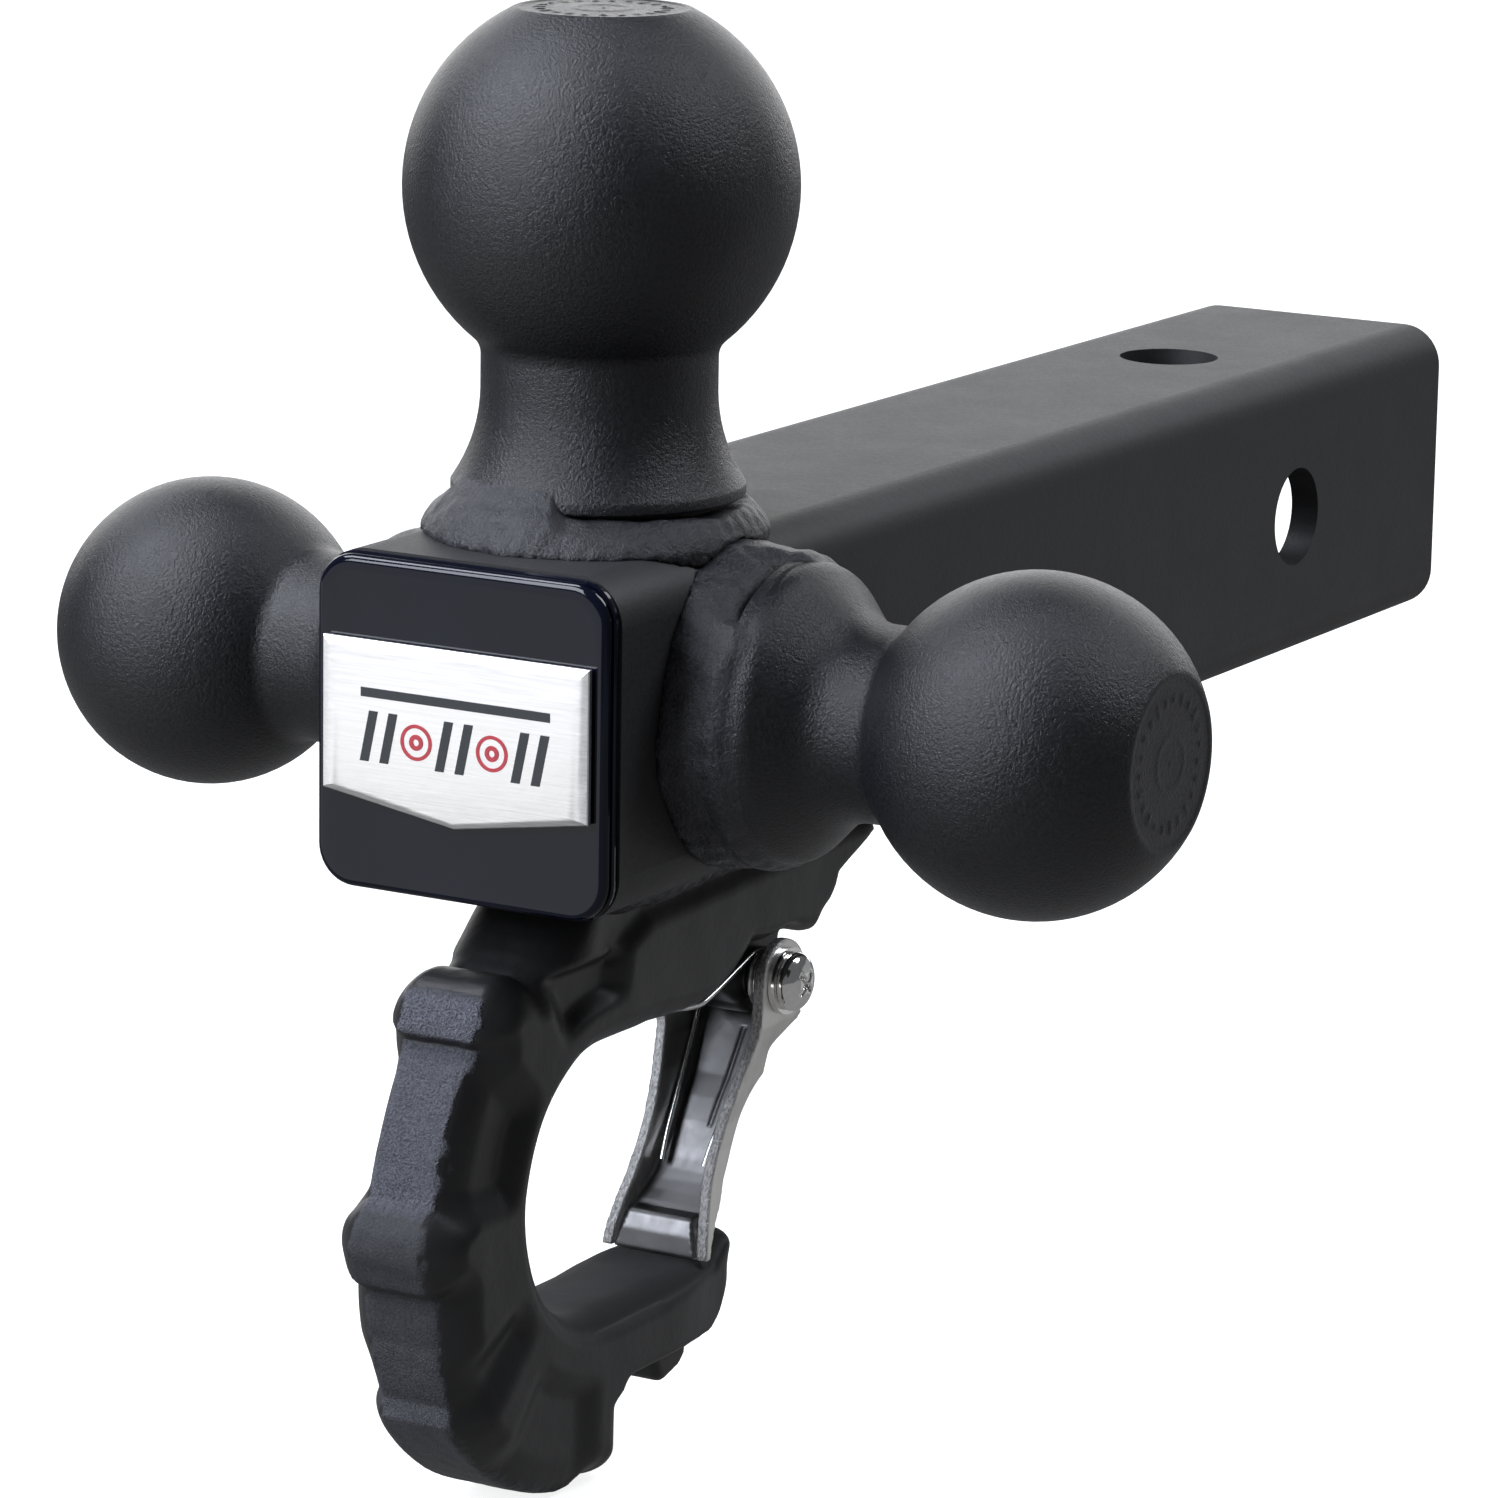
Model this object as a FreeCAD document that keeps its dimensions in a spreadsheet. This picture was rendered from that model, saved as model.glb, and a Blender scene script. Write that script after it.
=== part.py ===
"""Triple-ball receiver hitch with a tow hook and a spring latch.

The origin is on the axis of the hitch-pin hole, on the centreline of the square shank.
+X runs along the shank towards the vehicle, +Y to the left seen from the balls, +Z up.
Lengths are in millimetres, angles in degrees.
"""
import FreeCAD, Part
import math
import os
import Sketcher
from FreeCAD import Placement, Rotation, Vector

DIMENSIONS = {
    # square shank and its pin holes
    "shank_size": 50.8,
    "shank_wall": 5.0,
    "shank_corner": 7.0,
    "pin_to_end": 57.4,
    "pin_to_balls": 189.0,
    "balls_to_front": 34.6,
    "pin_hole_dia": 17.0,
    # end cap and badge
    "cap_size": 50.4,
    "cap_corner": 6.2,
    "cap_flange": 3.4,
    "cap_plug_gap": 0.3,
    "cap_plug_depth": 15.0,
    "cap_plug_wall": 2.4,
    "cap_plug_corner": 2.0,
    "cap_hollow_corner": 1.5,
    "cap_round": 1.3,
    "badge_half_width": 22.8,
    "badge_top": 12.9,
    "badge_foot": -9.9,
    "badge_point": -13.4,
    "badge_thick": 1.5,
    "badge_bevel": 0.8,
    "tape_thick": 0.4,
    "tape_margin": 1.5,
    # balls: diameters, centre distances from the shank's axis, flats
    "top_ball_dia": 58.74,
    "top_ball_out": 76.3,
    "top_neck_dia": 35.3,
    "top_rim_dia": 44.0,
    "top_rim_out": 30.6,
    "right_ball_dia": 50.8,
    "right_ball_out": 74.5,
    "left_ball_dia": 47.63,
    "left_ball_out": 69.9,
    "side_neck_dia": 29.4,
    "right_rim_dia": 45.2,
    "right_rim_out": 33.3,
    "left_rim_dia": 40.4,
    "left_rim_out": 29.6,
    "side_ball_rise": 1.2,
    "rim_thick": 2.0,
    "ball_flat_dia": 26.6,
    "pedestal_dia": 39.0,
    "neck_blend": 3.5,
    "flare_rise": 13.4,
    "shoulder_radius": 5.5,
    "hollow_radius": 9.0,
    # weld beads
    "top_bead_dia": 59.0,
    "right_bead_dia": 50.6,
    "left_bead_dia": 45.0,
    "bead_gap": 1.1,
    "bead_bulge": 0.9,
    "bead_edge": 0.2,
    "side_bead_root": 4.0,
    "top_bead_root": 3.8,
    "side_bead_inset": 0.6,
    "top_bead_inset": 0.4,
    "top_bead_side_gap": 0.3,
    "hook_bead_leg": 6.5,
    "hook_bead_belly": 3.6,
    "hook_bead_start": 14.0,
    "hook_bead_length": 78.0,
    # tow hook, from the centre of its throat
    "throat_from_balls": -11.0,
    "throat_drop": -72.0,
    "throat_radius": 20.7,
    "hook_core": 5.4,
    "hook_half": 10.7,
    "throat_draft": 4.6,
    "back_draft": 6.5,
    "foot_draft": 2.6,
    "lug_half": 4.6,
    "lug_radius": 6.0,
    "arch_radius": 9.0,
    # latch and its pivot
    "pivot_from_balls": 41.6,
    "pivot_drop": -52.3,
    "latch_half": 9.6,
    "latch_waist": 7.6,
    "latch_sheet": 1.9,
    "cheek_radius": 6.5,
    "web_slant": 1.15,
    "sleeve_dia": 7.0,
    "sleeve_half": 9.7,
    "pivot_play": 0.05,
    "screw_dia": 4.9,
    "screw_head_dia": 9.4,
    "screw_head": 3.1,
    "screw_past_nut": 1.0,
    "screw_tip_bevel": 0.6,
    "recess_depth": 1.7,
    "recess_arm": 2.45,
    "recess_half": 0.56,
    "washer_dia": 10.6,
    "washer_thick": 1.0,
    "nut_width": 8.0,
    "nut_height": 4.6,
    # latch spring
    "wire_dia": 0.9,
    "coil_radius": 4.35,
    "coil_turns": 1.75,
    "coil_gap": 0.05,
}

doc = FreeCAD.newDocument("triple_ball_hitch")
sheet = doc.addObject("Spreadsheet::Sheet", "dimensions")
for row, (alias, value) in enumerate(DIMENSIONS.items(), start=1):
    sheet.set("A%d" % row, alias)
    sheet.set("B%d" % row, str(value))
    sheet.setAlias("B%d" % row, alias)
doc.recompute()

NODES = []


def size(alias):
    """The value of one cell of the sheet."""
    return float(getattr(sheet, alias))


def bind(item, name, expression):
    """Drive one property from the sheet; a word with an underscore is a cell's alias."""
    words = [
        "<<dimensions>>." + word if word in DIMENSIONS else word
        for word in expression.split(" ")
    ]
    item.setExpression(name, " ".join(words))


def node(item, label):
    """Mark an object as one sub-part, exported under its label."""
    item.Label = label
    NODES.append(item)
    return item


# --- small helpers -------------------------------------------------------------------


def part_object(kind, name, **bound):
    """A Part primitive or operation whose sizes are bound to the sheet."""
    item = doc.addObject(kind, name)
    for key, expression in bound.items():
        bind(item, key, expression)
    return item


def cylinder(name, radius, height, place):
    item = part_object("Part::Cylinder", name, Radius=radius, Height=height)
    item.Placement = place
    return item


def fuse(name, shapes):
    item = doc.addObject("Part::MultiFuse", name)
    item.Shapes = shapes
    item.Refine = True
    return item


def common(name, shapes):
    item = doc.addObject("Part::MultiCommon", name)
    item.Shapes = shapes
    return item


def cut(name, base, tool):
    item = doc.addObject("Part::Cut", name)
    item.Base = base
    item.Tool = tool
    return item


def origin_plane(body, role):
    return next(plane for plane in body.Origin.OriginFeatures if plane.Role == role)


def body_sketch(body, role, name):
    """A sketch on one of its own body's origin planes."""
    sketch = body.newObject("Sketcher::SketchObject", name)
    sketch.AttachmentSupport = [(origin_plane(body, role), "")]
    sketch.MapMode = "FlatFace"
    return sketch


def edge_end(sketch, index, point):
    """Which end of an edge, 1 or 2, lies at a point."""
    first = sketch.getPoint(index, 1).distanceToPoint(point)
    second = sketch.getPoint(index, 2).distanceToPoint(point)
    return 1 if first < second else 2


def outline(sketch, steps):
    """Close an outline. A step is a point, or a pair: a point passed by an arc, and its end."""
    points = [Vector(*(step[1] if isinstance(step[0], tuple) else step), 0) for step in steps]
    first = len(sketch.Geometry)
    for index, step in enumerate(steps):
        start = points[index - 1]
        if isinstance(step[0], tuple):
            edge = Part.Arc(start, Vector(*step[0], 0), points[index])
        else:
            edge = Part.LineSegment(start, points[index])
        sketch.addGeometry(edge, False)
    count = len(steps)
    for index in range(count):
        here = first + index
        after = first + (index + 1) % count
        joint = points[index]
        sketch.addConstraint(
            Sketcher.Constraint(
                "Coincident",
                here,
                edge_end(sketch, here, joint),
                after,
                edge_end(sketch, after, joint),
            )
        )
    return sketch


def upright_sketch(name, steps, place=None):
    """A free sketch in the XZ plane: its x is +X and its y is +Z, its normal is -Y."""
    sketch = doc.addObject("Sketcher::SketchObject", name)
    turn = Placement(Vector(0, 0, 0), Rotation(Vector(1, 0, 0), 90))
    sketch.Placement = (place or Placement()).multiply(turn)
    return outline(sketch, steps)


def slab(name, sketch, half):
    """A plate of even thickness about the plane of its sketch."""
    plate = doc.addObject("Part::Extrusion", name)
    plate.Base = sketch
    plate.DirMode = "Normal"
    plate.Solid = True
    plate.Symmetric = True
    bind(plate, "LengthFwd", "2 * ( %s )" % half)
    return plate


def along_y(x, y, z):
    """A placement whose own Z axis points to +Y."""
    return Placement(Vector(x, y, z), Rotation(Vector(1, 0, 0), -90))


# --- places worked out from the sheet ------------------------------------------------

HALF = size("shank_size") / 2
BALLS_X = -size("pin_to_balls")
FRONT_X = BALLS_X - size("balls_to_front")
THROAT = Vector(BALLS_X + size("throat_from_balls"), 0, size("throat_drop"))
PIVOT = Vector(BALLS_X + size("pivot_from_balls"), 0, size("pivot_drop"))


# --- shank ---------------------------------------------------------------------------


def rounded_square(sketch, half, radius):
    """A square outline with round corners, centred on the sketch's origin."""
    straight = half - radius
    bulge = straight + radius * math.sqrt(0.5)
    steps = []
    for sx, sy in ((1, 1), (-1, 1), (-1, -1), (1, -1)):
        if sx == sy:
            steps.append((sx * half, sy * straight))
            steps.append(((sx * bulge, sy * bulge), (sx * straight, sy * half)))
        else:
            steps.append((sx * straight, sy * half))
            steps.append(((sx * bulge, sy * bulge), (sx * half, sy * straight)))
    return outline(sketch, steps)


def pad_along_x(body, name, sketch, length):
    pad = body.newObject("PartDesign::Pad", name)
    pad.Profile = sketch
    bind(pad, "Length", length)
    return pad


def pin_hole(body, role, name):
    """A round hole through both walls, on the origin."""
    sketch = body_sketch(body, role, name + "_circle")
    radius = size("pin_hole_dia") / 2
    centre = Vector(size("pin_to_balls") + size("balls_to_front"), 0, 0)
    sketch.addGeometry(Part.Circle(centre, Vector(0, 0, 1), radius), False)
    sketch.addConstraint(Sketcher.Constraint("DistanceX", -1, 1, 0, 3, centre.x))
    sketch.addConstraint(Sketcher.Constraint("PointOnObject", 0, 3, -1))
    sketch.addConstraint(Sketcher.Constraint("Diameter", 0, 2 * radius))
    bind(sketch, "Constraints[0]", "pin_to_balls + balls_to_front")
    bind(sketch, "Constraints[2]", "pin_hole_dia")
    pocket = body.newObject("PartDesign::Pocket", name)
    pocket.Profile = sketch
    pocket.Type = "ThroughAll"
    pocket.Midplane = True
    return pocket


def receiver_shank():
    """Square tube, open at the vehicle end, with crossed pin holes."""
    body = node(doc.addObject("PartDesign::Body", "shank"), "receiver_shank")
    length = "pin_to_end + pin_to_balls + balls_to_front"
    outer = rounded_square(
        body_sketch(body, "YZ_Plane", "shank_section"), HALF, size("shank_corner")
    )
    pad_along_x(body, "shank_bar", outer, length)
    bore_half = HALF - size("shank_wall")
    bore_corner = size("shank_corner") - size("shank_wall")
    inner = rounded_square(body_sketch(body, "YZ_Plane", "bore_section"), bore_half, bore_corner)
    bore = body.newObject("PartDesign::Pocket", "shank_bore")
    bore.Profile = inner
    bore.Type = "ThroughAll"
    bore.Reversed = True
    pin_hole(body, "XZ_Plane", "side_pin_hole")
    pin_hole(body, "XY_Plane", "upright_pin_hole")
    body.Placement = Placement(Vector(FRONT_X, 0, 0), Rotation())
    return body


def shank_envelope():
    """The shank's outside as a solid bar, to trim the weld beads to it."""
    box = part_object(
        "Part::Box",
        "shank_bar_outside",
        Length="pin_to_end + pin_to_balls + balls_to_front",
        Width="shank_size",
        Height="shank_size",
    )
    box.Placement = Placement(Vector(FRONT_X, -HALF, -HALF), Rotation())
    doc.recompute()
    rounded = doc.addObject("Part::Fillet", "shank_outside")
    rounded.Base = box
    long_edges = []
    for number, edge in enumerate(box.Shape.Edges, start=1):
        if abs(edge.tangentAt(edge.FirstParameter).x) > 0.9:
            long_edges.append((number, size("shank_corner"), size("shank_corner")))
    rounded.Edges = long_edges
    return rounded


# --- end cap and badge ---------------------------------------------------------------


def end_cap():
    """Push-in plug: a flange over the shank's end and a hollow skirt inside it."""
    body = node(doc.addObject("PartDesign::Body", "cap"), "end_cap")
    face_half = size("cap_size") / 2
    face = rounded_square(
        body_sketch(body, "YZ_Plane", "cap_face"), face_half, size("cap_corner")
    )
    flange = pad_along_x(body, "cap_flange_pad", face, "cap_flange")
    flange.Reversed = True
    skirt_half = HALF - size("shank_wall") - size("cap_plug_gap")
    skirt = rounded_square(body_sketch(body, "YZ_Plane", "cap_skirt"), skirt_half,
                           size("cap_plug_corner"))
    pad_along_x(body, "cap_skirt_pad", skirt, "cap_plug_depth")
    hollow_half = skirt_half - size("cap_plug_wall")
    hollow = rounded_square(body_sketch(body, "YZ_Plane", "cap_hollow"), hollow_half,
                            size("cap_hollow_corner"))
    pocket = body.newObject("PartDesign::Pocket", "cap_hollow_cut")
    pocket.Profile = hollow
    bind(pocket, "Length", "cap_plug_depth")
    pocket.Reversed = True
    doc.recompute()
    front = [
        "Edge%d" % number
        for number, edge in enumerate(body.Shape.Edges, start=1)
        if edge.BoundBox.XMax < -size("cap_flange") + 0.01
    ]
    rounding = body.newObject("PartDesign::Fillet", "cap_front_round")
    rounding.Base = (pocket, front)
    bind(rounding, "Radius", "cap_round")
    body.Placement = Placement(Vector(FRONT_X, 0, 0), Rotation())
    return body


def shield(half, top, foot, point):
    """A plate's outline: square shoulders and a shallow point along the foot."""
    return [(half, top), (-half, top), (-half, foot), (0, point), (half, foot)]


def tape_front():
    """Where the tape ends and the badge begins."""
    return FRONT_X - size("cap_flange") - size("tape_thick")


def badge_plate():
    """Metal plate with a shallow point along its foot and a bevelled rim."""
    body = node(doc.addObject("PartDesign::Body", "badge"), "badge_plate")
    half = size("badge_half_width")
    sketch = body_sketch(body, "YZ_Plane", "badge_outline")
    outline(sketch, shield(half, size("badge_top"), size("badge_foot"), size("badge_point")))
    pad = pad_along_x(body, "badge_pad", sketch, "badge_thick")
    pad.Reversed = True
    doc.recompute()
    front = [
        "Edge%d" % number
        for number, edge in enumerate(body.Shape.Edges, start=1)
        if edge.BoundBox.XMax < -size("badge_thick") + 0.01
    ]
    bevel = body.newObject("PartDesign::Chamfer", "badge_rim")
    bevel.Base = (pad, front)
    bind(bevel, "Size", "badge_bevel")
    body.Placement = Placement(Vector(tape_front(), 0, 0), Rotation())
    return body


def badge_tape():
    """Double-sided mounting tape that holds the badge on the cap."""
    body = node(doc.addObject("PartDesign::Body", "tape"), "badge_tape")
    margin = size("tape_margin")
    sketch = body_sketch(body, "YZ_Plane", "tape_outline")
    outline(sketch, shield(size("badge_half_width") - margin, size("badge_top") - margin,
                           size("badge_foot") + margin, size("badge_point") + margin))
    pad_along_x(body, "tape_pad", sketch, "tape_thick")
    body.Placement = Placement(Vector(tape_front(), 0, 0), Rotation())
    return body


# --- balls ---------------------------------------------------------------------------


def ball_profile(sketch, ball, neck, rim, centre, rim_out, shoulder):
    """Half section of a ball on its neck. The sketch's y runs out along the ball's axis."""
    blend = size("neck_blend")
    base = HALF
    rim_top = rim_out + size("rim_thick")
    flat = size("ball_flat_dia") / 2
    crown = centre + math.sqrt(ball ** 2 - flat ** 2)
    blend_out = centre - math.sqrt((ball + blend) ** 2 - (neck + blend) ** 2)
    reach = (neck + blend) / (ball + blend)
    touch = (reach * ball, centre - ball * math.sqrt(1 - reach ** 2))
    half_turn = 0.5 * math.acos(reach)
    bend = (neck + blend * (1 - math.cos(half_turn)), blend_out + blend * math.sin(half_turn))
    steps = [(0, base), (size("pedestal_dia") / 2, base), (size("pedestal_dia") / 2, rim_out)]
    steps += [(rim, rim_out), (rim, rim_top)]
    steps += shoulder(rim, rim_top, neck)
    steps += [(neck, blend_out), (bend, touch)]
    steps += [((ball, centre), (flat, crown)), (0, crown)]
    return outline(sketch, steps)


def plain_flare(rim, rim_top, neck):
    """One hollow curve from the rim up to the neck, tangent to the neck."""
    rise = size("flare_rise")
    step = rim - neck
    radius = (rise ** 2 + step ** 2) / (2 * step)
    angle = 0.5 * math.asin(rise / radius)
    end = rim_top + rise
    middle = (neck + radius * (1 - math.cos(angle)), end - radius * math.sin(angle))
    return [(middle, (neck, end))]


def round_shoulder(rim, rim_top, neck):
    """A rounded shoulder, a slope of 45 degrees and a hollow curve into the neck."""
    shoulder = size("shoulder_radius")
    hollow = size("hollow_radius")
    full = math.sin(math.radians(45))
    half_sine = math.sin(math.radians(22.5))
    half_cosine = math.cos(math.radians(22.5))
    bend = (rim - shoulder * (1 - half_cosine), rim_top + shoulder * half_sine)
    slope = (rim - shoulder * (1 - full), rim_top + shoulder * full)
    drop = slope[0] - neck - hollow * (1 - full)
    foot = (slope[0] - drop, slope[1] + drop)
    end = (neck, foot[1] + hollow * full)
    middle = (neck + hollow * (1 - half_cosine), end[1] - hollow * half_sine)
    return [(bend, slope), foot, (middle, end)]


def ball(label, dia, neck, rim, centre, rim_out, shoulder, place):
    """A turned ball with its neck, rim and pedestal, as one piece."""
    body = node(doc.addObject("PartDesign::Body", label + "_body"), label)
    sketch = body_sketch(body, "XZ_Plane", label + "_section")
    ball_profile(
        sketch,
        size(dia) / 2,
        size(neck) / 2,
        size(rim) / 2,
        size(centre),
        size(rim_out),
        shoulder,
    )
    turned = body.newObject("PartDesign::Revolution", label + "_turned")
    turned.Profile = sketch
    turned.ReferenceAxis = (sketch, ["V_Axis"])
    turned.Angle = 360
    body.Placement = place
    return body


def side_place(side):
    """Turns an upright ball to point to +Y (side 1) or -Y (side -1)."""
    turn = Rotation(Vector(1, 0, 0), -90 * side)
    return Placement(Vector(BALLS_X, 0, size("side_ball_rise")), turn)


def balls():
    upright = Placement(Vector(BALLS_X, 0, 0), Rotation())
    ball("top_ball", "top_ball_dia", "top_neck_dia", "top_rim_dia", "top_ball_out",
         "top_rim_out", plain_flare, upright)
    for name, side in (("left", 1), ("right", -1)):
        ball(name + "_ball", name + "_ball_dia", "side_neck_dia", name + "_rim_dia",
             name + "_ball_out", name + "_rim_out", round_shoulder, side_place(side))


# --- weld beads ----------------------------------------------------------------------


def ring_bead(name, radius, foot, crest, rim, place):
    """A turned bead round a pedestal: from its foot on the shank up to just under the rim."""
    inner = size("pedestal_dia") / 2
    sketch = doc.addObject("Sketcher::SketchObject", name + "_section")
    sketch.Placement = Placement(Vector(0, 0, 0), Rotation(Vector(1, 0, 0), 90))
    swell = size("bead_bulge")
    bulge = ((radius + rim) / 2 + swell, (crest + HALF) / 2 + swell)
    outline(sketch, [(inner, foot), (radius, foot), (radius, HALF + size("bead_edge")),
                     (bulge, (rim, crest)), (inner, crest)])
    turned = doc.addObject("Part::Revolution", name)
    turned.Source = sketch
    turned.Axis = Vector(0, 0, 1)
    turned.Angle = 360
    turned.Solid = True
    turned.Placement = place
    return turned


def ball_welds(envelope):
    """Fillet welds round the three pedestals, trimmed to the shank and to each other."""
    beads = []
    for name, side in (("left", 1), ("right", -1)):
        blank = ring_bead(
            name + "_ball_bead_blank",
            size(name + "_bead_dia") / 2,
            HALF - size("side_bead_root"),
            size(name + "_rim_out") - size("bead_gap"),
            size(name + "_rim_dia") / 2 - size("side_bead_inset"),
            side_place(side),
        )
        beads.append(node(cut(name + "_ball_bead", blank, envelope), name + "_ball_weld"))
    blank = ring_bead(
        "top_bead_blank",
        size("top_bead_dia") / 2,
        HALF - size("top_bead_root"),
        size("top_rim_out") - size("bead_gap"),
        size("top_rim_dia") / 2 - size("top_bead_inset"),
        Placement(Vector(BALLS_X, 0, 0), Rotation()),
    )
    width = part_object("Part::Box", "top_bead_width", Length="top_bead_dia",
                        Width="shank_size - 2 * top_bead_side_gap", Height="shank_size")
    width.Placement = Placement(
        Vector(BALLS_X - size("top_bead_dia") / 2, size("top_bead_side_gap") - HALF, 0), Rotation()
    )
    trimmed = common("top_bead_trimmed", [blank, width])
    others = fuse("top_bead_neighbours", [envelope] + beads)
    node(cut("top_bead", trimmed, others), "top_ball_weld")


def hook_welds():
    """Fillet welds along both flanks of the hook, under the shank."""
    leg = size("hook_bead_leg")
    half = size("hook_half")
    belly = size("hook_bead_belly")
    start = BALLS_X - size("hook_bead_start")
    for label, side in (("left", 1), ("right", -1)):
        sketch = doc.addObject("Sketcher::SketchObject", "hook_bead_section_" + label)
        turn = Rotation(Vector(0, 1, 0), Vector(0, 0, 1), Vector(1, 0, 0), "ZXY")
        sketch.Placement = Placement(Vector(start, 0, 0), turn)
        bulge = (side * (half + belly), -HALF - belly)
        outline(sketch, [(side * half, -HALF), (side * half, -HALF - leg),
                         (bulge, (side * (half + leg), -HALF))])
        bead = doc.addObject("Part::Extrusion", "hook_bead_" + label)
        bead.Base = sketch
        bead.DirMode = "Custom"
        bead.Dir = Vector(1, 0, 0)
        bead.Solid = True
        bind(bead, "LengthFwd", "hook_bead_length")
        node(bead, "hook_weld_" + label)


# --- tow hook ------------------------------------------------------------------------


def hook_core_outline():
    """Side view of the hook's middle slab, from the throat's centre: ribs, heel and nose."""
    throat = size("throat_radius")
    top = -HALF - THROAT.z
    return [
        (-6, top), (-22.5, 35.8),
        ((-28.5, 37.4), (-34.2, 32.5)), (-34.6, 27.5),
        ((-39.2, 18.3), (-42.6, 6)),
        ((-46.9, 0), (-44.2, -7.6)),
        ((-42.2, -16.8), (-38.4, -26)), (-38.4, -29.3),
        ((-26.5, -40.4), (-10, -46.9)), (-2, -46.9), ((2.8, -45.6), (4, -42)),
        (4.3, -35.5), ((5.4, -33), (8, -32.1)),
        (16.6, -32.1), ((19.5, -37.2), (25, -36.8)), (26.4, -32.1),
        (31.7, -32), ((36.4, -28.4), (38.6, -24)), (40, -20.4),
        ((39.2, -17.9), (36.8, -17.4)), (32.6, -throat),
        (0, -throat), ((-throat, 0), (0, throat)),
        (24, throat), ((33, 22.3), (42, 27.6)), (62, 25.5),
        (66.2, 29.6), (68.2, 34), (79.5, 38.6), (79.5, top),
    ]


def hook_flank_outline(inset):
    """Side view of a flank. An inset of 0 is its root on the middle slab, 1 is its face."""
    throat = size("throat_radius") + size("throat_draft") * inset
    back = size("back_draft") * inset
    foot = size("foot_draft") * inset
    top = -HALF - THROAT.z
    lower = 20.7 + 1.2 * inset
    return [
        (-6 + back, top), (-22 + 0.6 * back, 35 - 0.8 * back),
        ((-38.8 + 0.9 * back, 17.5 - 0.4 * back), (-42.4 + back, -3)),
        ((-41.2 + back, -17), (-35 + 0.9 * back, -30.5)),
        ((-24.5 + 0.5 * back, -39.8 + 0.6 * back), (-8, -46.6 + foot)),
        (1.6 - 0.4 * foot, -46.4 + foot), (4 - 0.4 * foot, -42 + 0.6 * foot),
        (4 - 0.4 * foot, -34.5 + 0.4 * foot), (7.5, -31.9 + 0.3 * foot),
        (31.2 - foot, -31.8 + 0.3 * foot), (35.6 - 2 * foot, -21.4 - 1.4 * foot),
        (0, -throat), ((-throat, 0), (0, throat)),
        (26, lower), (38, 24.4 + 0.6 * inset), (45.8, 27 + 0.4 * inset),
        ((52.6, 28.6 + 0.2 * inset), (60, 23.6 + 0.6 * inset)),
        (63.2, 23.2 + 0.8 * inset), (65.6, 27.6 + 0.6 * inset), (67.6 - inset, 33.4),
        (79, 37 + 0.4 * inset), (79, top),
    ]


def hook_flank(side):
    """A flank whose outline narrows from the middle slab out to the side face."""
    roots = []
    for step, depth in enumerate(("hook_core", "hook_half")):
        place = Placement(THROAT + Vector(0, side * size(depth), 0), Rotation())
        name = "flank_%s_%d" % ("left" if side > 0 else "right", step)
        roots.append(upright_sketch(name, hook_flank_outline(step), place))
    flank = doc.addObject("Part::Loft", "hook_flank_" + ("left" if side > 0 else "right"))
    flank.Sections = roots
    flank.Solid = True
    flank.Ruled = True
    return flank


def hook_lug():
    """The tongue between the latch's cheeks, rounded about the pivot."""
    radius = size("lug_radius")
    local = PIVOT - THROAT
    steps = [
        (34, 24), (local.x - radius * 0.8, local.z - radius * 0.6),
        ((local.x + 0.6 * radius, local.z - 0.8 * radius), (local.x + radius, local.z)),
        (60, 26), (60, 32), (34, 32),
    ]
    return slab("hook_lug", upright_sketch("lug_outline", steps, Placement(THROAT, Rotation())),
                "lug_half")


def tow_hook():
    """Forged hook: middle slab, two flanks, a tongue for the latch and the sleeve's hole."""
    core = slab("hook_core_slab",
                upright_sketch("core_outline", hook_core_outline(), Placement(THROAT, Rotation())),
                "hook_core")
    arch = []
    reach = size("hook_half") + 1
    for side in (1, -1):
        low = min(side * size("lug_half"), side * reach)
        arch.append(cylinder("arch_%d" % (side + 1), "arch_radius", "hook_half + 1 - lug_half",
                             along_y(PIVOT.x, low, PIVOT.z)))
    solid = fuse("hook_forging", [core, hook_flank(1), hook_flank(-1)])
    recessed = cut("hook_recessed", solid, fuse("hook_arches", arch))
    tongued = fuse("hook_tongued", [recessed, hook_lug()])
    hole = cylinder("sleeve_hole", "sleeve_dia / 2", "4 * lug_half",
                    along_y(PIVOT.x, -2 * size("lug_half"), PIVOT.z))
    node(cut("hook", tongued, hole), "tow_hook")


# --- latch ---------------------------------------------------------------------------


def latch_side(inset):
    """Side view of the latch from its pivot; an inset moves the web's line inwards."""
    cheek = size("cheek_radius")
    web = inset * size("web_slant")
    return [
        (-cheek, 0), ((0, cheek), (cheek, 0)),
        (5.6 - web, -5.6 - 0.2 * web), (1.8 - web, -10.2), (-1.6 - web, -15.2),
        ((-5.3 - web, -19), (-8.2 - web, -23)), (-10.2 - web, -27),
        (-14.6 - web, -31.6), (-18.8 - web, -36.2 + 0.2 * web), (-21.4 - 0.5 * web, -39.9),
        (-22.6, -39.9), (-20.1, -32.7), ((-16.4, -25.4), (-10.2, -14.7)), (-6.6, -6.5),
    ]


def latch_front(half, waist, low):
    """Front view of the latch from its pivot: wide at both ends, narrow in the middle."""
    rise = size("cheek_radius") + 1
    right = [(half, rise), (half, -8), (waist + 0.4, -15),
             ((waist, -21), (waist + 0.4, -28)), (half, -36), (half, low)]
    left = [(-half, low), (-half, -36), (-waist - 0.4, -28),
            ((-waist, -21), (-waist - 0.4, -15)), (-half, -8), (-half, rise)]
    return right + left


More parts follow.
